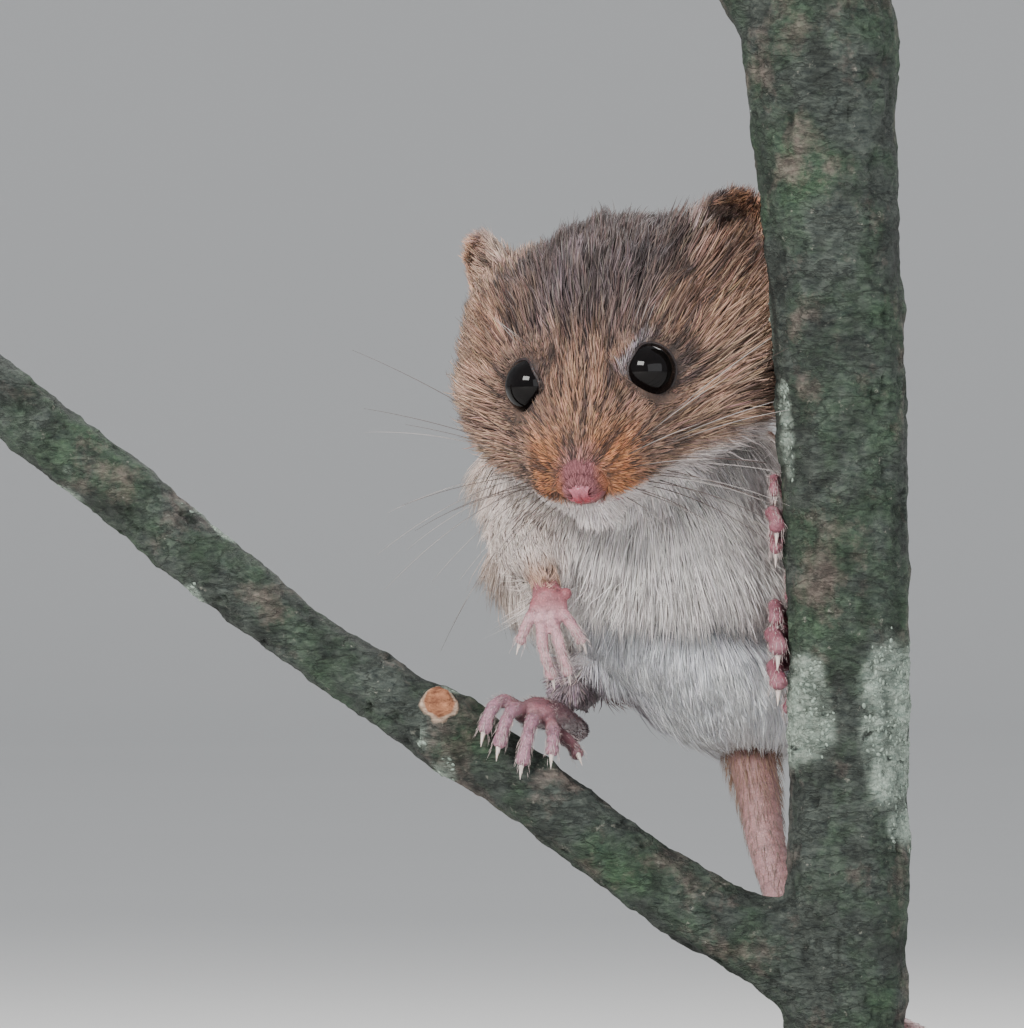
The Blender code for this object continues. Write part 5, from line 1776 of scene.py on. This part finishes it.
def build_coat(coat):
    roots, ups, ways, numbers, colours = coat.roots(COAT_TOTAL)
    ups = unit(ups)
    ways = unit(laid_flat(ways, ups))
    length, lift, width, _, on_head, on_ears, _ = numbers.T
    colours = streaked(colours, roots, on_head)
    guard = DICE.random(len(roots)) < GUARD_SHARE
    length = length * (0.80 + 0.40 * DICE.random(len(roots))) * (1 + 0.12 * streaks(roots, on_head))
    length = np.where(guard, length * GUARD_LONGER, length)
    width = np.where(guard, width * GUARD_THINNER, width) * (0.8 + 0.4 * DICE.random(len(roots)))
    lift = np.where(guard, lift * GUARD_STEEPER, lift)
    for name, chosen in coat_groups(roots, on_head, on_ears).items():
        unwrap = head_unwrap if name in HEAD_COATS else body_unwrap
        rings = 2 if name == "ear_coat" else 3
        pick = np.flatnonzero(chosen)
        spine, side = tuft_spines(roots[pick], ups[pick], ways[pick], length[pick], lift[pick], rings)
        heart, near = clumped(roots[pick], length[pick], CLUMP)
        drawn = DRAWN_ON_FACE if name in ("face_coat", "ear_coat") else DRAWN_TOGETHER
        spine = gathered(spine, heart, near, drawn)
        spine = clear_of_stem(spine)
        clump = DICE.standard_normal(len(pick))[heart]
        tones = strand_colours(colours[pick], rings, guard[pick], paleness(colours[pick]), clump)
        spine, stay = clear_of_eyes(spine)
        pick, spine, side, tones = pick[stay], spine[stay], side[stay], tones[stay]
        parts = math.ceil(len(pick) / (MOST_FACES // (rings * 6 - 2)))
        order = np.argsort(roots[pick, 0], kind="stable")
        for part in range(parts):
            some = order[part * len(order) // parts:(part + 1) * len(order) // parts]
            patches = packed(unwrap(roots[pick[some]]))
            mesh = tuft_mesh(name, spine[some], side[some], width[pick[some]], tones[some], patches)
            label = name if parts == 1 else f"{name}_{part + 1}"
            show(mesh, label, COAT)


def build_skin():
    """One skin round all the furred solids, painted dark under brown hair as the shade between its tufts,
    pale under white and bare in the ears.
    """
    mesh = remeshed(cad_shapes(FURRED, SKIN_GROWN), SKIN_CELL)
    edges = edges_of(mesh)
    shares = region_shares(points_of(mesh), edges, 6)
    off_ears, on_head = 1 - part_of(shares, *EARS), part_of(shares, "head")
    points = relaxed(points_of(mesh), edges, 14, where=off_ears * (1 - 0.9 * on_head))
    points = relaxed(points, edges, 2)
    set_points(mesh, points)
    normals = relaxed(normals_of(mesh), edges, 3)
    points = sculpted(points, unit(normals), shares)
    points = relaxed(points, edges, 10, where=off_ears * (1 - 0.95 * on_head))
    set_points(mesh, close_round_eyes(points))
    coat = Coat(mesh, relaxed(shares, edges, 10))
    # painted shade: the skin under brown hair at 0.45 of the coat's colour, so that the gaps between tufts
    # read as shadow
    hue = streaked(coat.colour, coat.points, coat.on_head) * mixed(0.45, 0.92, paleness(coat.colour))[:, None]
    paint(mesh, layers_of(
        hue,
        (EAR_BARE * (1 + 0.2 * layered(coat.points, 0.8, 91))[:, None], coat.hollow),
        (PINK * (0.9, 0.7, 0.72), coat.bare),
    ))
    mark(mesh, "bare", np.clip(coat.bare + 0.6 * coat.hollow, 0, 1))
    show(mesh, "mouse_skin", SKIN, FURRED)
    return coat


# Single hairs

WHISKER_BLACK = np.array((0.05, 0.035, 0.03))
WHISKER_CLEAR = (0.42, 0.38, 0.36)
WHISKER_ROWS, WHISKERS_IN_ROW, BROW_HAIRS = 5, 4, 3
FUZZ_HAIRS, FUZZ_LIFT, FUZZ_WIDTH = 1700, 24.0, 0.022
BRISTLES, BRISTLE_LIFT, BRISTLE_WIDTH = 3200, 16.0, 0.020


def hair_path(start, way, length, sag, count, radius):
    """Rows of one hair that leaves start along way and sags. radius gives its thickness from root to tip."""
    rows = []
    for step in range(count):
        t = step / (count - 1)
        rows.append((*(start + unit(way) * length * t + sag * t**2), radius(t)))
    return rows


def hair_mesh(name, paths, colours, sides=5):
    """Long single hairs as closed tapered tubes, each with its colour from root to tip."""
    points, faces, tones = [], [], []
    start = 0
    for rows, tone in zip(paths, colours):
        made, around = tube(rows, sides, blunt=0.2)
        points.append(made)
        faces += [tuple(start + i for i in face) for face in around]
        share = np.concatenate([np.repeat(np.linspace(0, 1, len(rows)), sides), [0, 1]])
        tones.append(mixed(tone[0], tone[1], rise(share, 0.15, 0.75)))
        start += len(made)
    mesh = new_mesh(name, np.concatenate(points), faces)
    paint(mesh, np.concatenate(tones))
    return mesh


def whisker_radius(t):
    return 0.020 * (1 - t) ** 0.8 + 0.006


def brow_radius(t):
    return 0.016 * (1 - t) + 0.005


def build_whiskers():
    """Whiskers in rows on both pads and a few over each eye, each cut short where it would meet the stem."""
    hairs, tones = [], []
    for side, _ in SIDES:
        for row in range(WHISKER_ROWS):
            for place in range(WHISKERS_IN_ROW):
                out = 2.05 + 0.28 * place - 0.10 * abs(row - 2) ** 2
                length = 5.0 + 2.6 * place + 1.3 * DICE.random() - 0.5 * abs(row - 1)
                spread = 0.42 - 0.30 * row + 0.12 * DICE.standard_normal()
                way = head_way(side * 1.0, -0.15 - 0.16 * place + 0.06 * DICE.standard_normal(), spread)
                start = head_at(side * out, 5.1 - 0.62 * place, -2.35 - 0.48 * row) - unit(way) * 0.3
                sag = np.array((0, 0.10, -0.11 - 0.05 * row)) * length
                hairs.append(hair_path(start, way, length, sag, 13, whisker_radius))
                tones.append((WHISKER_BLACK, WHISKER_CLEAR if DICE.random() < 0.5 else WHISKER_BLACK * 2.0))
        for number in range(BROW_HAIRS):
            start = head_at(side * (2.4 + 0.35 * number), -0.2, 1.7)
            way = head_way(side * 0.45, 0.25 - 0.3 * number, 0.9)
            sag = np.array((0, 0.6, -0.4))
            hairs.append(hair_path(start, way, 3.4 - 0.5 * number, sag, 9, brow_radius))
            tones.append((WHISKER_BLACK, WHISKER_CLEAR))
    paths = []
    for rows in hairs:
        path = np.array(rows)
        inside = np.flatnonzero(from_stem(path[:, :3]) < 0.08)
        paths.append(path[: max(inside[0], 3)] if len(inside) else path)
    show(hair_mesh("whiskers", paths, tones), "whiskers", COAT)


def build_nose_fuzz(points, normals):
    """Very short hair over the nose's top and sides, where the bare pad gives way to the muzzle."""
    here = in_head(points)
    rim = rise(here[:, 1], 7.0, 6.85) * rise(here[:, 1], 6.0, 6.3) * rise(here[:, 2], -3.4, -2.9)
    seen = np.flatnonzero(rim > DICE.random(len(points)))
    pick = DICE.choice(seen, min(len(seen), FUZZ_HAIRS), replace=False)
    count = len(pick)
    roots, ups = points[pick], normals[pick]
    back = np.tile(-HEAD_AXES[1] + 0.25 * HEAD_AXES[2], (count, 1))
    ways = unit(laid_flat(back + 0.5 * unit(roots - head_at(*NOSE_MIDDLE)), ups))
    lengths = 0.32 + 0.20 * DICE.random(count)
    spine, side = tuft_spines(roots, ups, ways, lengths, np.full(count, FUZZ_LIFT), 2)
    hue = mixed((0.30, 0.125, 0.135), (0.40, 0.160, 0.085), rise(np.abs(here[pick, 0]), 0.5, 1.1))
    hue = hue * (1 + 0.22 * DICE.standard_normal((count, 1)))
    tone = np.clip(hue, 0.02, 1)[:, None] * np.linspace(0.7, 1.25, 3)[None, :, None]
    mesh = tuft_mesh("fuzz", spine, side, np.full(count, FUZZ_WIDTH), tone, packed(head_unwrap(roots)))
    show(mesh, "nose_fuzz", COAT)


def build_tail_hair(centres, radii):
    """Sparse fine bristles that lie back along the tail."""
    count = BRISTLES
    places = ((np.arange(count) + DICE.random(count)) / count) ** 1.35 * (len(centres) - 12) + 6
    low = places.astype(int)
    part = (places - low)[:, None]
    middle = centres[low] * (1 - part) + centres[low + 1] * part
    along = unit(centres[low + 1] - centres[low])
    turn = DICE.random(count) * 2 * np.pi
    first = unit(np.cross(along, np.array((0.13, 0.21, 0.97))))
    ups = first * np.cos(turn)[:, None] + np.cross(along, first) * np.sin(turn)[:, None]
    roots = middle + ups * (radii[low] * 0.98)[:, None]
    near_root = rise(places, 60, 10)
    lengths = 0.5 + 1.3 * near_root + 0.2 * DICE.random(count)
    spine, side = tuft_spines(roots, ups, along, lengths, np.full(count, BRISTLE_LIFT), 2, 0.04)
    stay = np.min(from_stem(spine.reshape(-1, 3)).reshape(count, -1), axis=1) > 0.02
    tone = mixed((0.28, 0.21, 0.18), (0.34, 0.215, 0.150), near_root)[:, None] * np.ones((1, 3, 1))
    patches = packed(np.column_stack((places / len(centres), turn / (2 * np.pi)))[stay])
    mesh = tuft_mesh("tail", spine[stay], side[stay], np.full(stay.sum(), BRISTLE_WIDTH), tone[stay], patches)
    show(mesh, "tail_bristles", COAT)


HAIRS_ROUND_DIGIT, HAIRS_ROUND_SOLE = 9, 90
PAW_HAIR_LIFT, PAW_HAIR_WIDTH = 20.0, 0.016
PAW_HAIR = np.array((0.64, 0.53, 0.51))


def build_paw_hair():
    """Short white hairs on the backs of the digits, and a short dark coat on the soles."""
    roots, ups, ways, tones = [], [], [], []
    limbs = [(smooth_rows(points, 6), radius, False) for points, radius, _, _ in every_digit()]
    for sole in (BRANCH_SOLE, GRIP_SOLE):
        rows = np.array(smooth_rows(sole, 5))
        limbs.append((rows[:, :3], rows[:, 3], True))
    for path, radius, is_sole in limbs:
        path = np.array(path)
        radius = np.broadcast_to(radius, len(path))
        along = unit(np.gradient(path, axis=0))
        count = HAIRS_ROUND_SOLE if is_sole else HAIRS_ROUND_DIGIT
        for k in range(0 if is_sole else len(path) // 4, len(path)):
            dark = is_sole and path[k][1] > 2.6
            for _ in range(count):
                out = unit(DICE.standard_normal(3))
                out = unit(out - along[k] * out.dot(along[k]))
                if out[1] > 0.45 and path[k][0] < 8 and not is_sole:
                    continue
                root = path[k] + out * (1, 1, 0.74 if is_sole else 1) * (radius[k] - 0.02)
                if from_stem(root[None])[0] < 0.25:
                    continue
                roots.append(root + along[k] * 0.2 * DICE.standard_normal())
                ups.append(out)
                ways.append(along[k])
                tones.append(ANKLE * 1.25 if dark else PAW_HAIR)
    roots, ups, ways = (np.array(v) for v in (roots, ups, ways))
    count = len(roots)
    lengths = 0.30 + 0.30 * DICE.random(count)
    spine, side = tuft_spines(roots, ups, ways, lengths, np.full(count, PAW_HAIR_LIFT), 2)
    tone = np.array(tones)[:, None] * np.array((0.75, 1.0, 1.15))[None, :, None]
    patches = packed(np.column_stack((roots[:, 0], roots[:, 2])))
    mesh = tuft_mesh("paws", spine, side, np.full(count, PAW_HAIR_WIDTH), tone, patches)
    show(mesh, "paw_hair", COAT)


# Floor, light and camera

FLOOR_HALF_WIDTH = 6.0
FLOOR_FRONT, CURVE_START, CURVE_RADIUS, WALL_TOP = -5.0, 2.6, 0.9, 5.0
LAMPS = (  # name, where it hangs from the mouse, size, power and colour
    ("key", (-0.34, -0.56, 0.38), (0.34, 0.20), 8.8, (1.0, 0.98, 0.95)),
    ("fill", (0.45, -0.75, 0.20), (1.0, 0.48), 4.2, (0.94, 0.97, 1.0)),
    ("rim", (0.18, 0.42, 0.45), (0.3, 0.3), 4.0, (1.0, 0.98, 0.96)),
)
ROOM_COLOUR, ROOM_LIGHT = (0.84, 0.87, 0.92, 1), 0.68
CAMERA_AWAY, PICTURE_WIDTH, SENSOR_WIDTH = 800, 51.2, 36.0


def build_stage():
    """A pale floor that curves up behind into a backdrop."""
    profile = [(FLOOR_FRONT, 0.0), (CURVE_START, 0.0)]
    for step in range(1, 13):
        turn = math.pi / 2 * step / 12
        across, up = CURVE_RADIUS * math.sin(turn), CURVE_RADIUS - CURVE_RADIUS * math.cos(turn)
        profile.append((CURVE_START + across, up))
    profile.append((CURVE_START + CURVE_RADIUS, WALL_TOP))
    points = [(x, y, z) for y, z in profile for x in (-FLOOR_HALF_WIDTH, FLOOR_HALF_WIDTH)]
    mesh = new_mesh("floor", points, [(i, i + 1, i + 3, i + 2) for i in range(0, len(points) - 2, 2)])
    mesh.polygons.foreach_set("use_smooth", np.full(len(mesh.polygons), True))
    mesh.materials.append(FLOOR)
    put("floor", mesh)


def light_scene():
    middle = TO_WORLD @ Vector((5, 0, 0))
    for name, away, size, power, colour in LAMPS:
        lamp = bpy.data.lights.new(name, "AREA")
        lamp.shape = "RECTANGLE"
        lamp.size, lamp.size_y = size
        lamp.energy = power
        lamp.color = colour
        holder = put(name, lamp)
        holder.location = middle + Vector(away)
        holder.rotation_euler = (middle - holder.location).to_track_quat("-Z", "Y").to_euler()
    world = bpy.data.worlds.new("room")
    bpy.context.scene.world = world
    world.use_nodes = True
    back = world.node_tree.nodes["Background"].inputs
    back[0].default_value = ROOM_COLOUR
    back[1].default_value = ROOM_LIGHT


def set_camera():
    """The photo's view: level, from the front, with a long lens. The picture is 51.2 mm wide at the stem."""
    camera = bpy.data.cameras.new("camera")
    camera.sensor_fit = "HORIZONTAL"
    camera.sensor_width = SENSOR_WIDTH
    camera.lens = SENSOR_WIDTH * CAMERA_AWAY / PICTURE_WIDTH
    camera.clip_start = 0.01
    camera.clip_end = 20
    holder = put("camera", camera)
    holder.location = TO_WORLD @ Vector((0, -CAMERA_AWAY, 0))
    holder.rotation_euler = (math.pi / 2, 0, 0)
    bpy.context.scene.camera = holder


def main():
    build_lichen(build_perch())
    build_stand()
    build_eyes()
    build_lid_rims()
    pad = build_nose()
    build_paws()
    tail = build_tail()
    build_coat(build_skin())
    build_nose_fuzz(*pad)
    build_whiskers()
    build_tail_hair(*tail)
    build_paw_hair()
    build_stage()
    light_scene()
    set_camera()


main()
